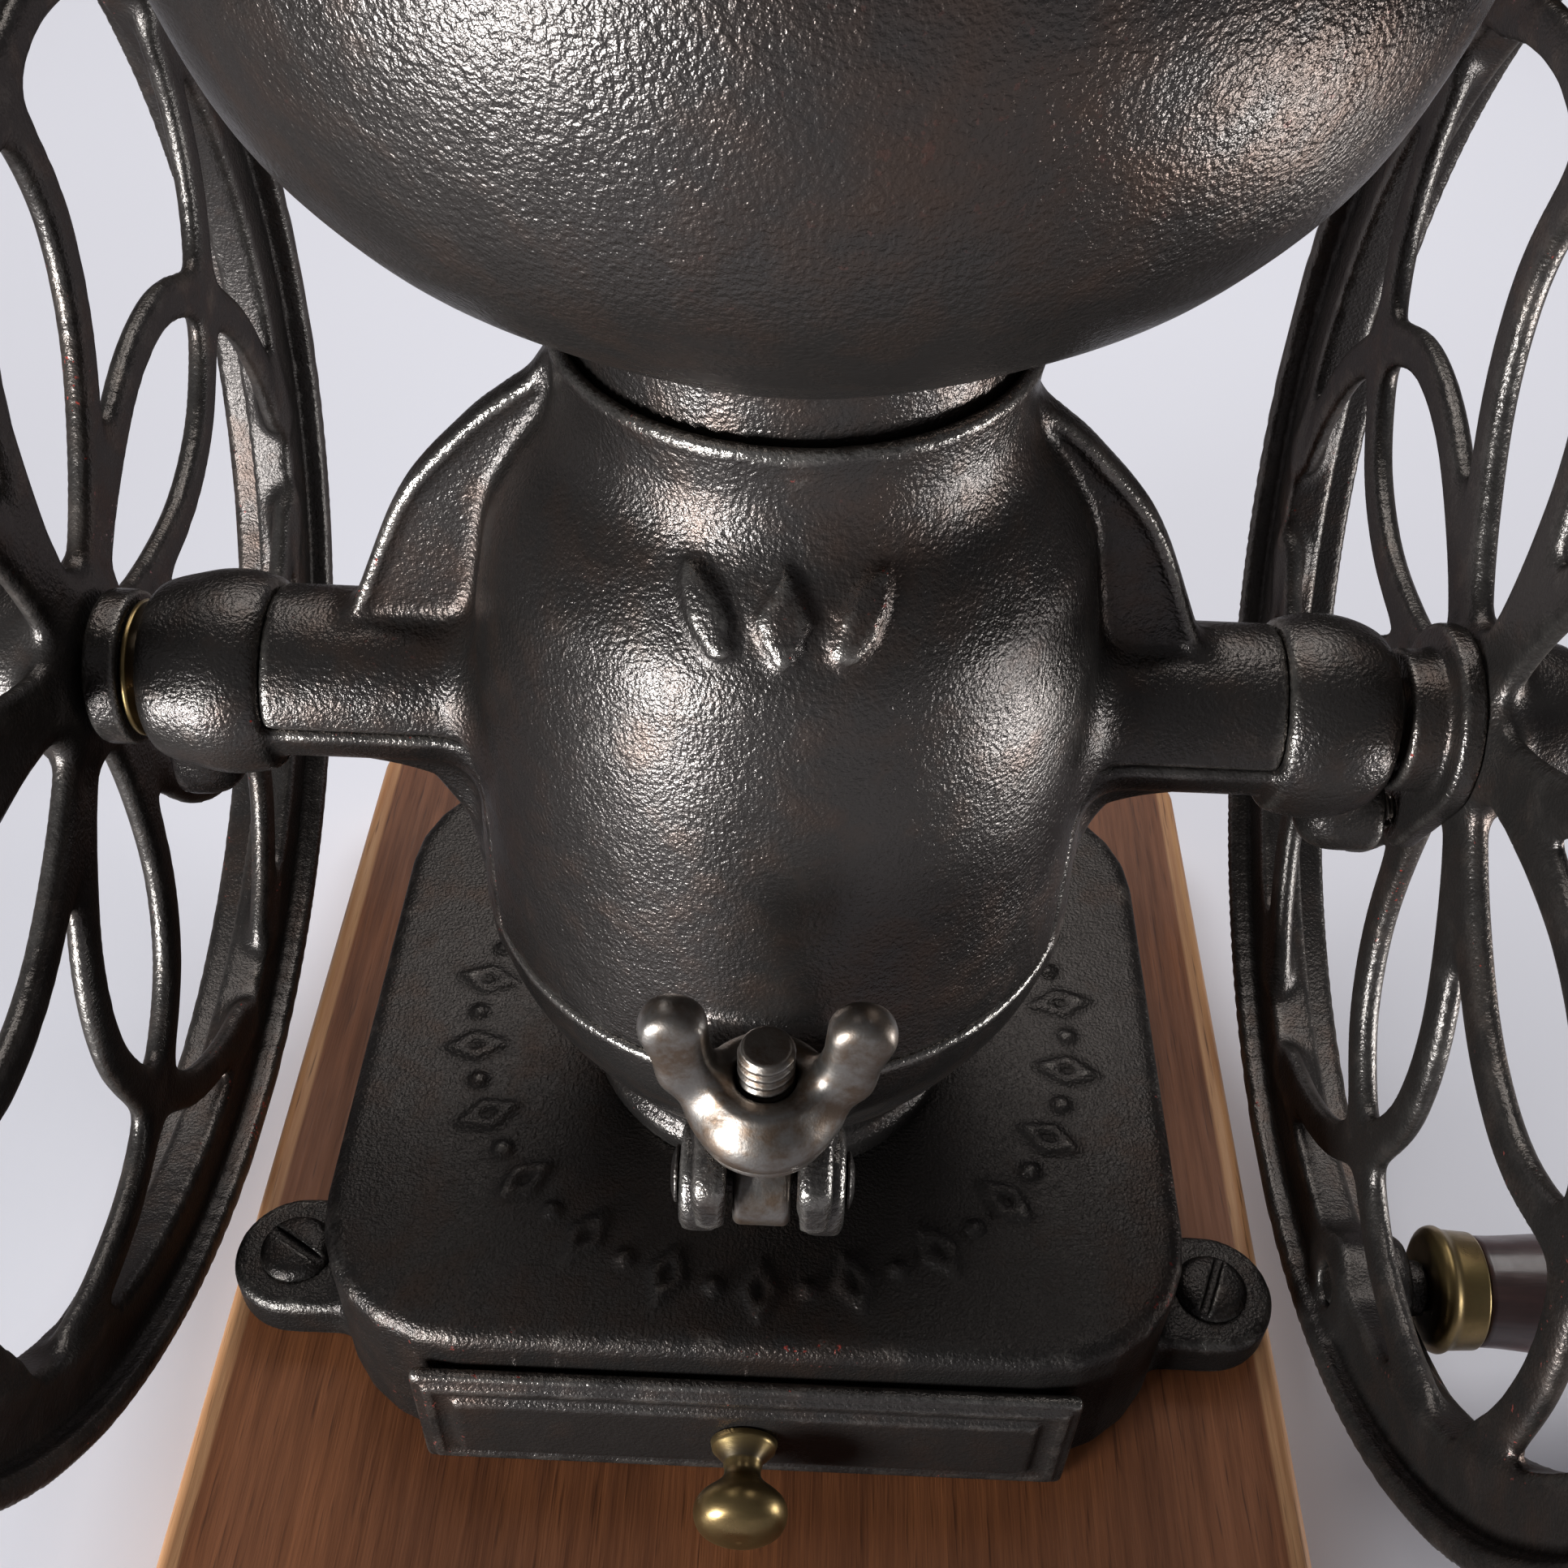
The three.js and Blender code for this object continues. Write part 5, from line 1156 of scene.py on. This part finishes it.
class MILL_OT_drawer(bpy.types.Operator):
    """The drawer: sheet box, cast front with a raised bead and a turned knob"""
    bl_idname = "mill.drawer"
    bl_label = "Drawer"

    def execute(self, context):
        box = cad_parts["drawer_box"]
        dress(box, "dull_iron")
        soften = box.modifiers.new("edges", "BEVEL")
        soften.width, soften.segments = 0.4 * MM, 2
        low, high = span("drawer_front")
        middle = (low + high) / 2
        half = (high[0] - low[0]) / 2
        back = block((-half, low[1] + 1.2, low[2]), (half, high[1], high[2]), 0.9)
        panel = block((-half + 6, low[1], low[2] + 5), (half - 6, high[1], high[2] - 5), 1.0)
        bead_out = block((-half + 1.6, low[1] + 0.5, low[2] + 1.6), (half - 1.6, high[1], high[2] - 1.6), 0.7)
        bead_in = block((-half + 3.6, low[1] - 5, low[2] + 3.6), (half - 3.6, low[1] + 1.2, high[2] - 3.6), 0.4)
        form = back.joined(bead_out.cut(bead_in, 0.6), 0.6).joined(panel, 0.8)
        form = form.cut(rod(2.3, -90, -40, "Y", SHARP).moved(0, 0, middle[2]), 0.4)
        cast_piece("drawer_front", form, 0.55, "drawer", "black_iron", "_skin")
        low, high = span("drawer_knob")
        neck, r, seat = 3, (high[0] - low[0]) / 2, high[1] - 7
        line = [(0, high[1]), (2, high[1]), (2, seat), (neck * 1.7, seat), (neck * 1.6, seat - 1.2)]
        crown = smooth_line([(neck, seat - 3), (neck, seat - 5.6), (r * 0.9, seat - 8.6), (r, seat - 10.8),
                             (r * 0.86, seat - 13.2), (r * 0.45, seat - 14.7), (0, low[1])], 5)
        spin_piece("drawer_knob", [*line, *crown], "Y", (0, 0, (low[2] + high[2]) / 2), "drawer", "brass")
        return {"FINISHED"}


# Clamp

class MILL_OT_clamp(bpy.types.Operator):
    """The front clamp: threaded swing bolt, washer, wing nut and its pin, and the hinge pin behind"""
    bl_idname = "mill.clamp"
    bl_label = "Clamp and hinge pins"

    def execute(self, context):
        s = sizes("case")
        self.bolt(s)
        self.wing_nut(s)
        low, high = span("clamp_washer")
        flat = [(3.8, low[2]), (8.2, low[2]), (8.2, high[2]), (3.8, high[2]), (3.8, low[2])]
        at = (s.axis, -s.pin_y, 0)
        spin_piece("clamp_washer", closed_round(flat, CRISP), "Z", at, "clamp_washer", "worn_steel")
        for node, radius, head, long in (("clamp_pin", 2.2, 3.6, 1.0), ("hinge_pin", 2.4, 3.8, 2.0)):
            low, high = span(node)
            middle = (low + high) / 2
            line = [(0, low[0]), (head * 0.55, low[0]), (head, low[0] + long * 0.6), (head, low[0] + long),
                    (radius, low[0] + long), (radius, high[0] - long), (head, high[0] - long),
                    (head, high[0] - long * 0.6), (head * 0.55, high[0]), (0, high[0])]
            at = (0, middle[1], middle[2])
            spin_piece(node, rounded(line, 0.8), "X", at, "stand_and_case", "dull_iron", 40)
        return {"FINISHED"}

    @staticmethod
    def bolt(s):
        high = span("swing_bolt")[1]
        foot = -s.pin_drop
        eye = pin_round(s, 6, -3.6, 3.6, 1.0)
        shank = rod(3.4, foot + 3, high[2] - 18, "Z", CRISP).moved(s.axis, -s.pin_y)
        screw = thread(3.5, foot + 8, high[2], 1.4, 0.45, "Z").moved(s.axis, -s.pin_y)
        hole = pin_round(s, 2.5, -6, 6, SHARP)
        form = eye.joined(shank, 1.6).joined(screw, 0.15).cut(hole, 0.4)
        cast_piece("swing_bolt", form, 0.2, "swing_bolt", "worn_steel")

    @staticmethod
    def wing_nut(s):
        top = smooth_line([(8.9, 0.6), (9.2, 2.4), (8.7, 4.6), (7.4, 6.7), (6.6, 7.8)], 5)
        hub = lathe([(0, 0), (8.3, 0), *top, (5.8, 8.2), (0, 8.2)])
        inner = finger((6.2, 0, 3.8), (9.4, 0, 8.8), 3.1, 3.0)
        outer = finger((9.4, 0, 8.8), (10.9, 0, 16.5), 3.1, 4.1)
        thin = block((-20, -2.9, -5), (20, 2.9, 30), 2.0)
        wing = inner.joined(outer, 2.5).kept(thin, 1.4)
        bore = rod(3.8, -5, 20, "Z", SHARP)
        above = block((-30, -30, 0), (30, 30, 30), 0.2)
        form = hub.joined(wing.both_sides(), 3.2).cut(bore, 0.7).kept(above, 0.4)
        placed = form.moved(s.axis, -s.pin_y, span("wing_nut")[0][2])
        cast_piece("wing_nut", placed, 0.35, "wing_nut", "worn_steel", "_skin")


def closed_round(points, radius):
    """A closed profile with all its corners rounded."""
    middle = (np.array(points[0]) + np.array(points[1])) / 2
    line = rounded([middle, *points[1:-1], points[0], middle], radius)
    return [*line[:-1], line[0]]


# Hopper and lid

def pivot_ear(s, low, high, half, reach, edge):
    """A round ear for the lid's pivot screw, with a bridge towards the hopper's axis."""
    bridge = block((-half, -reach, low), (half, 0, high), edge)
    return rod(LID_PIVOT_RADIUS, low, high, "Z", edge).joined(bridge, 0.5).moved(s.axis, LID_PIVOT_Y)


def pivot_hole(s, low, high):
    return rod(LID_PIVOT_HOLE, low, high, "Z", SHARP).moved(s.axis, LID_PIVOT_Y)


class MILL_OT_hopper(bpy.types.Operator):
    """The cast hopper with its collar, rolled rim and the lid's pivot boss"""
    bl_idname = "mill.hopper"
    bl_label = "Hopper"
    outline = [(26.9, 66), (33, 67.6), (44, 75), (53, 82.4), (61, 94), (65.8, 112), (64.8, 130), (60.4, 147)]
    wall = 2.5

    def execute(self, context):
        s = sizes("case")
        low, high = span("hopper")
        rim, collar = high[2], SEAT_RADIUS - 0.35
        bowl = smooth_line(self.outline[1:], 6)
        inner = [(r - self.wall, z + self.wall * 0.3) for r, z in reversed(bowl)]
        points = [(collar - self.wall, low[2]), (collar, low[2]), (collar, 65.2), *bowl,
                  (61.6, rim - 4.2), (62.6, rim - 2.6), (62.6, rim - 1.2), (61.6, rim), (58.6, rim), *inner,
                  (collar - self.wall, 66.5)]
        boss = pivot_ear(s, rim - 6, rim, 4.4, 8, 0.8)
        outside = lathe([(0, 40), (58.2, 90), (58.2, 170), (0, 170)]).moved(s.axis)
        shell = hollow_turned(points, s.axis).joined(boss.cut(outside, 0.5), 1.6)
        form = shell.cut(pivot_hole(s, rim - 12, rim + 9), 0.5)
        cast_piece("hopper", form, 1.1, "stand_and_case", "black_iron", "_skin")
        return {"FINISHED"}


class MILL_OT_lid(bpy.types.Operator):
    """The domed lid with its pivot ear and turned knob"""
    bl_idname = "mill.lid"
    bl_label = "Lid"

    def execute(self, context):
        s = sizes("case")
        bottom, crown, radius, thick = span("hopper_lid")[0][2], 21, 61, 2.2
        shares = [(1, 0.10), (0.96, 0.25), (0.84, 0.5), (0.66, 0.74), (0.42, 0.92), (0.15, 1)]
        dome = smooth_line([(radius * a, bottom + crown * b) for a, b in shares], 6)
        inner = [(max(r - thick, 0), z - thick * 0.9) for r, z in reversed(dome)]
        points = [(radius - 3.4, bottom), (radius, bottom), (radius, bottom + 1.2), *dome, (-9, bottom + crown),
                  (-9, bottom + crown - thick), *inner[1:-1]]
        bead_radius, bead_height, bead_half = 24, bottom + crown * 0.925, 1.0

        def bead(p):
            out = np.hypot(p[:, 0] - s.axis, p[:, 1]) - bead_radius
            return np.hypot(out, p[:, 2] - bead_height) - bead_half
        ear = pivot_ear(s, bottom, bottom + 3, LID_PIVOT_RADIUS, 9.2, 0.9)
        shell = hollow_turned(points, s.axis).joined(Form(bead), 1.0).joined(ear, 1.4)
        knob_hole = rod(1.9, 100, 200, "Z", SHARP).moved(s.axis)
        form = shell.cut(pivot_hole(s, bottom - 9, bottom + 9), 0.5).cut(knob_hole, CRISP)
        cast_piece("hopper_lid", form, 0.9, "lid", "black_iron", "_skin")
        low, high = span("lid_knob")
        seat, top, r, n = bottom + crown + 0.3, high[2], 7.4, 3.2
        tall = top - seat
        line = [(0, low[2]), (n / 2, low[2]), (n / 2, seat), (n * 1.8, seat), (n * 1.7, seat + 1)]
        ball = [(n, seat + tall * 0.2), (n * 1.05, seat + tall * 0.3), (r * 0.86, seat + tall * 0.46),
                (r, seat + tall * 0.64), (r * 0.86, seat + tall * 0.84), (r * 0.5, seat + tall * 0.96), (0, top)]
        spin_piece("lid_knob", [*line, *smooth_line(ball, 5)], "Z", (s.axis, 0, 0), "lid", "brass")
        return {"FINISHED"}


# Shaft and wheels

ROD_SHARES = [(0.063, 0.036), (0.216, 0.0945), (0.378, 0.1305), (0.522, 0.1125), (0.63, 0.045),
              (0.684, -0.018), (0.756, -0.126), (0.792, -0.252), (0.797, -0.36)]


class MILL_OT_wheels(bpy.types.Operator):
    """The two cast wheels, whose petals are round-backed rods that cross and run out into the rim"""
    bl_idname = "mill.wheels"
    bl_label = "Wheels"

    def execute(self, context):
        w = sizes("wheels")
        plan = self.petal_plan(w)
        for side, name in ((1, "right_wheel"), (-1, "left_wheel")):
            low, high = span(name)
            radius = (high[2] - low[2]) / 2
            near, far = (low[0], high[0]) if side > 0 else (-high[0], -low[0])
            form = self.wheel(w, plan, radius, near, far)
            if side > 0:
                form = self.with_crank_boss(form, w)
            placed = form if side > 0 else form.mirrored()
            cast_piece(name, placed, w.step, "shaft_and_wheels", "black_iron", "_skin", "wheel_iron")
        return {"FINISHED"}

    @staticmethod
    def petal_plan(w):
        """Distance from the rods' edges in the wheel's plane, joined softly where they cross."""
        radius = 111.1
        line = smooth_line(ROD_SHARES, 5) * radius
        part = 2 * math.pi / w.petals

        def to_line(x, y):
            near = np.full(x.shape, np.inf)
            for (ax, ay), (bx, by) in zip(line, line[1:]):
                ex, ey = bx - ax, by - ay
                t = np.clip(((x - ax) * ex + (y - ay) * ey) / (ex * ex + ey * ey), 0, 1)
                near = np.minimum(near, (x - ax - ex * t) ** 2 + (y - ay - ey * t) ** 2)
            return np.sqrt(near) - w.rod_half

        def measure(x, y):
            angle = np.arctan2(y, x) - w.first
            local = angle - np.round(angle / part) * part
            r = np.hypot(x, y)
            total = 0
            for k in (-1, 0, 1):
                u, v = r * np.cos(local - k * part), r * np.sin(local - k * part)
                for mirror in (1, -1):
                    total = total + np.exp(-to_line(u, mirror * v) / w.blend)
            return -w.blend * np.log(np.maximum(total, 1e-12))
        return Drawing(measure, (-radius, -radius), (radius, radius), 0.5)

    @staticmethod
    def wheel(w, plan, radius, near, far):
        half, depth = w.rod_half, w.back - w.face

        def rods(p):
            """Rods with a flat inner face and a round back."""
            out = np.maximum(plan(p[:, 1], p[:, 2]) + half, 0)
            up = np.maximum(p[:, 0] - w.face, 0)
            k0 = np.maximum(np.hypot(out / half, up / depth), 1e-6)
            k1 = np.maximum(np.hypot(out / half ** 2, up / depth ** 2), 1e-6)
            return -soft_min(-(k0 * (k0 - 1) / k1), p[:, 0] - w.face, 3.0)

        rim, inner = w.rim_thick, w.ring_inner
        band = radius - rim
        points = [(inner, w.face), (band, w.face), (band, near), (radius, near), (radius, far), (band, far),
                  (band, w.ring_back), (inner, w.ring_back)]
        section = outline(inset(points, 0.9), 0.25)
        ring = Form(lambda p: section(np.hypot(p[:, 1], p[:, 2]), p[:, 0]) - 0.9)
        hub_near, hub_far = near + 3.2, 110
        hub_line = [(0, hub_near), (10.6, hub_near), (12.6, w.face + 0.3), (12.6, w.ring_back),
                    (11.1, hub_far), (0, hub_far)]
        hub = lathe(rounded(hub_line, 1.5), "X")
        return Form(rods).joined(ring, 3).joined(hub, 4).cut(shaft_hole(), 0.5)

    @staticmethod
    def with_crank_boss(form, w):
        low, high = span("crank_pin")
        y, z = (low[1] + high[1]) / 2, (low[2] + high[2]) / 2
        end = span("grip_ferrule")[0][0] - 3.8
        boss = rod(8.5, w.face + 0.3, end, "X", 1.4).moved(0, y, z)
        hole = rod(3.5, 80, 130, "X", SHARP).moved(0, y, z)
        return form.joined(boss, 3.5).cut(hole, 0.5)


def inset(points, by):
    """A closed outline moved inwards, so that a rounding of the same size brings it back."""
    p = np.array(points, float)
    before, after = p - np.roll(p, 1, 0), np.roll(p, -1, 0) - p
    before /= np.linalg.norm(before, axis=1)[:, None]
    after /= np.linalg.norm(after, axis=1)[:, None]
    area = np.sum(p[:, 0] * np.roll(p[:, 1], -1) - np.roll(p[:, 0], -1) * p[:, 1])
    both = before + after
    left = np.sign(area) * np.stack([-both[:, 1], both[:, 0]], 1)
    share = np.maximum((left * left).sum(1) / 2, 0.2)
    return p + left / share[:, None] * by


class MILL_OT_shaft(bpy.types.Operator):
    """The shaft, its hub nuts, collar, thrust washer, bushes, feed screw and burrs"""
    bl_idname = "mill.shaft"
    bl_label = "Shaft and bearings"

    def execute(self, context):
        r, end = 6, span("shaft")[1][0]
        dimple = [(0, end - 2.2), (1.5, end)]
        line = [(0, -end + 2.2), (1.5, -end), (r - 0.9, -end), (r, -end + 0.9), (r, end - 0.9), (r - 0.9, end),
                *reversed(dimple)]
        spin_piece("shaft", rounded(line, 0.4), "X", (0, 0, 0), "shaft_and_wheels", "worn_steel")
        for name in ("left_hub_nut", "right_hub_nut"):
            self.nut(name)
        for node, outer, body, slot in (
                ("left_bush", 8.7, "stand_and_case", "brass"), ("right_bush", 8.7, "stand_and_case", "brass"),
                ("left_collar", 10.9, "shaft_and_wheels", "black_iron"),
                ("thrust_washer", 9.6, "shaft_and_wheels", "brass")):
            (low, _, _), (high, _, _) = span(node)
            flat = [(SHAFT_SPACE, low), (outer, low), (outer, high), (SHAFT_SPACE, high), (SHAFT_SPACE, low)]
            soft = min(0.9, (high - low) * 0.4)
            spin_piece(node, closed_round(flat, soft), "X", (0, 0, 0), body, slot)
        for node in ("feed_screw", "fixed_burr", "turning_burr"):
            dress(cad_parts[node], "worn_steel")
        return {"FINISHED"}

    @staticmethod
    def nut(node):
        low, high = span(node)
        middle = (low[0] + high[0]) / 2
        half = (high[0] - low[0]) / 2
        corner, taper_radius, taper_long, taper_rise = 10.4, 10.2, 1.2, 1.4
        flat = outline([(corner * math.cos(a), corner * math.sin(a)) for a in ring_of(6)])

        def cone(p):
            past = np.maximum(np.abs(p[:, 0] - middle) - half + taper_long, 0)
            return (np.hypot(p[:, 1], p[:, 2]) - taper_radius + past * taper_rise) * 0.7
        form = slab(flat, low[0], high[0], "X", CRISP).kept(Form(cone), CRISP).cut(shaft_hole(), 0.5)
        cast_piece(node, form, 0.4, "shaft_and_wheels", "dull_iron")


class MILL_OT_adjuster(bpy.types.Operator):
    """The pear-shaped adjusting plate by the right wheel and its threaded screw"""
    bl_idname = "mill.adjuster"
    bl_label = "Adjusting plate and screw"

    def execute(self, context):
        low, high = span("adjusting_plate")
        face, back, radius, ear, drop = high[0] - 3.4, high[0], 13.7, 5.6, 17.4
        lean = math.degrees(math.asin((radius - ear) / drop))
        points = arc(0, 0, radius, -lean, 180 + lean, 40) + arc(0, -drop, ear, 180 + lean, 360 - lean, 20)
        disc = plate(points, face, back, "X", 0.9)
        boss = rod(10, low[0], back - 1, "X", 0.8)
        key = rod(1.8, 80, 120, "X", SHARP).moved(0, 0, -17.9)
        form = disc.joined(boss, 1.2).cut(shaft_hole(), 0.5).cut(key, 0.4)
        cast_piece("adjusting_plate", form, 0.4, "adjusting_plate", "black_iron", "_skin")
        low, high = span("adjusting_screw")
        slot = block((high[0] - 1.2, -5, -0.55), (high[0] + 3, 5, 0.55), SHARP)
        form = thread(2.9, low[0], high[0], 1.0, 0.35, "X").cut(slot, 0.25).moved(0, 0, (low[2] + high[2]) / 2)
        cast_piece("adjusting_screw", form, 0.2, "adjusting_screw", "worn_steel")
        return {"FINISHED"}


class MILL_OT_crank(bpy.types.Operator):
    """The crank handle: pin with its collar, brass ferrule and turned wooden grip"""
    bl_idname = "mill.crank"
    bl_label = "Crank handle"
    grip = [(8.9, 0), (9.2, 6), (10.6, 20), (12.8, 36), (14.3, 50), (13.9, 60), (11.2, 66.6), (7.5, 69.6)]
    bore = 3.5

    def execute(self, context):
        low, high = span("crank_pin")
        at = (0, (low[1] + high[1]) / 2, (low[2] + high[2]) / 2)
        seat = span("grip_ferrule")[0][0] - 3.5
        end, r, collar = high[0] - 2.6, 3.2, 4.5
        line = [(0, low[0]), (r, low[0]), (r, seat), (4.1, seat), (collar, seat + 0.8), (collar, seat + 3.2),
                (r, seat + 3.2), (r, end), (5, end), (5, end + 1), (3.4, high[0]), (0, high[0])]
        section = lathe(rounded(line, 0.7, 4), "X")
        slot = block((high[0] - 1.1, -9, -0.6), (high[0] + 3, 9, 0.6), SHARP)
        form = section.cut(slot, CRISP).moved(0, at[1], at[2])
        cast_piece("crank_pin", form, 0.45, "shaft_and_wheels", "dull_iron")
        (start, _, _), (stop, _, _) = span("grip_ferrule")
        ring = [(self.bore, start), (8.6, start), (10.0, start + 0.8), (10.4, start + 2), (9.7, start + 3.3),
                (9.45, stop), (self.bore, stop), (self.bore, start)]
        spin_piece("grip_ferrule", closed_round(ring, 0.5), "X", at, "crank_grip", "brass")
        (start, _, _), (stop, _, _) = span("crank_grip")
        belly = [(radius, start + x) for radius, x in smooth_line(self.grip, 6)]
        wood = [(self.bore, start), (8.5, start), *belly, (self.bore, stop), (self.bore, start)]
        spin_piece("crank_grip", wood, "X", at, "crank_grip", "grip_wood")
        return {"FINISHED"}


# Stage

class MILL_OT_stage(bpy.types.Operator):
    """The pale floor, two soft side lamps, a soft top lamp and the camera"""
    bl_idname = "mill.stage"
    bl_label = "Stage"
    cool, white = (0.94, 0.975, 1.0), (1.0, 0.99, 0.98)
    # Name, place, target and size in metres, share of the power, beam in degrees and colour
    lamps = (
        ("left_lamp", (-0.31, -0.34, 0.09), (0.0, 0.0, 0.15), (0.16, 0.15), 0.54, 70, cool),
        ("right_lamp", (0.34, -0.04, 0.04), (0.03, -0.03, 0.16), (0.16, 0.06), 0.14, 70, cool),
        ("top_lamp", (0.0, 0.6, 1.1), (0.0, 0.1, 0.0), (1.3, 0.8), 7, 180, white),
    )
    sky, sky_strength = (0.9, 0.92, 1.0, 1.0), 0.15

    def execute(self, context):
        s = context.scene.coffee_mill.stage
        self.floor(context, s)
        for name, place, target, size, power, beam, glow in self.lamps:
            self.lamp(context, name, place, target, size, s.lamp * power, beam, glow)
        world = bpy.data.worlds.new("studio")
        context.scene.world = world
        world.use_nodes = True
        sky = world.node_tree.nodes["Background"].inputs
        sky["Color"].default_value, sky["Strength"].default_value = self.sky, self.sky_strength
        self.camera(context, s)
        context.scene.view_settings.view_transform = "Standard"
        return {"FINISHED"}

    @staticmethod
    def floor(context, s):
        reach, bend, height = 2.0, 0.5, 1.6
        line = [(-reach, 0.0), (reach - bend, 0.0)]
        line += arc(reach - bend, bend, bend, -85, 0, 18)
        line.append((reach, height))
        points = [(x, y, z) for y, z in line for x in (-reach, reach)]
        faces = [(2 * i, 2 * i + 1, 2 * i + 3, 2 * i + 2) for i in range(len(line) - 1)]
        mesh = bpy.data.meshes.new("floor")
        mesh.from_pydata(points, [], faces)
        mesh.polygons.foreach_set("use_smooth", [True] * len(faces))
        floor = bpy.data.objects.new("floor", mesh)
        context.scene.collection.objects.link(floor)
        f = Finish("floor")
        soft = f.noise(0.2, 2, 0.5)
        tone = f.mix(soft.ramp(0.3, 0.7) * 0.5, colour(s.floor), colour([c * 0.97 for c in s.floor]))
        mesh.materials.append(f.set(Base_Color=tone, Roughness=0.85, Specular_IOR_Level=0.1))

    @staticmethod
    def lamp(context, name, place, target, size, power, beam, glow):
        light = bpy.data.lights.new(name, "AREA")
        light.shape, light.size, light.size_y, light.energy = "RECTANGLE", size[0], size[1], power
        light.color, light.spread = glow, math.radians(beam)
        lamp = bpy.data.objects.new(name, light)
        lamp.location = place
        lamp.rotation_euler = (Vector(target) - Vector(place)).to_track_quat("-Z", "Y").to_euler()
        lamp.visible_camera = False
        context.scene.collection.objects.link(lamp)

    @staticmethod
    def camera(context, s):
        eye = bpy.data.objects.new("camera", bpy.data.cameras.new("camera"))
        eye.data.lens, eye.data.sensor_width, eye.data.dof.use_dof = s.lens, 36, False
        eye.data.clip_start = 0.01
        turns = ((s.yaw, "Z"), (math.pi / 2 - s.pitch, "X"), (s.roll, "Z"))
        look = Matrix()
        for turn, axis in turns:
            look = look @ Matrix.Rotation(turn, 4, axis)
        eye.matrix_world = Matrix.Translation(SHAFT + Vector(s.camera)) @ look
        context.scene.collection.objects.link(eye)
        context.scene.camera = eye


class MILL_PT_panel(bpy.types.Panel):
    """The mill's pieces and settings"""
    bl_label = "Coffee mill"
    bl_idname = "MILL_PT_panel"
    bl_space_type = "VIEW_3D"
    bl_region_type = "UI"
    bl_category = "Mill"

    def draw(self, context):
        for operator in OPERATORS:
            self.layout.operator(operator.bl_idname)
        for group in ("finish", "case", "wheels", "stage"):
            settings = getattr(context.scene.coffee_mill, group)
            box = self.layout.box()
            box.label(text=group.capitalize())
            for key in settings.__annotations__:
                box.prop(settings, key)


OPERATORS = (
    MILL_OT_stage, MILL_OT_board, MILL_OT_base, MILL_OT_screws, MILL_OT_drawer, MILL_OT_lower_case,
    MILL_OT_upper_case, MILL_OT_clamp, MILL_OT_hopper, MILL_OT_lid, MILL_OT_wheels, MILL_OT_shaft,
    MILL_OT_adjuster, MILL_OT_crank,
)
CLASSES = (MillFinish, MillCase, MillWheels, MillStage, MillSettings, *OPERATORS, MILL_PT_panel)


def register():
    for item in CLASSES:
        bpy.utils.register_class(item)
    bpy.types.Scene.coffee_mill = bpy.props.PointerProperty(type=MillSettings)


def unregister():
    del bpy.types.Scene.coffee_mill
    for item in reversed(CLASSES):
        bpy.utils.unregister_class(item)


def main():
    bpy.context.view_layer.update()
    register()
    for operator in OPERATORS:
        group, name = operator.bl_idname.split(".")
        getattr(getattr(bpy.ops, group), name)()


if __name__ == "__main__":
    main()
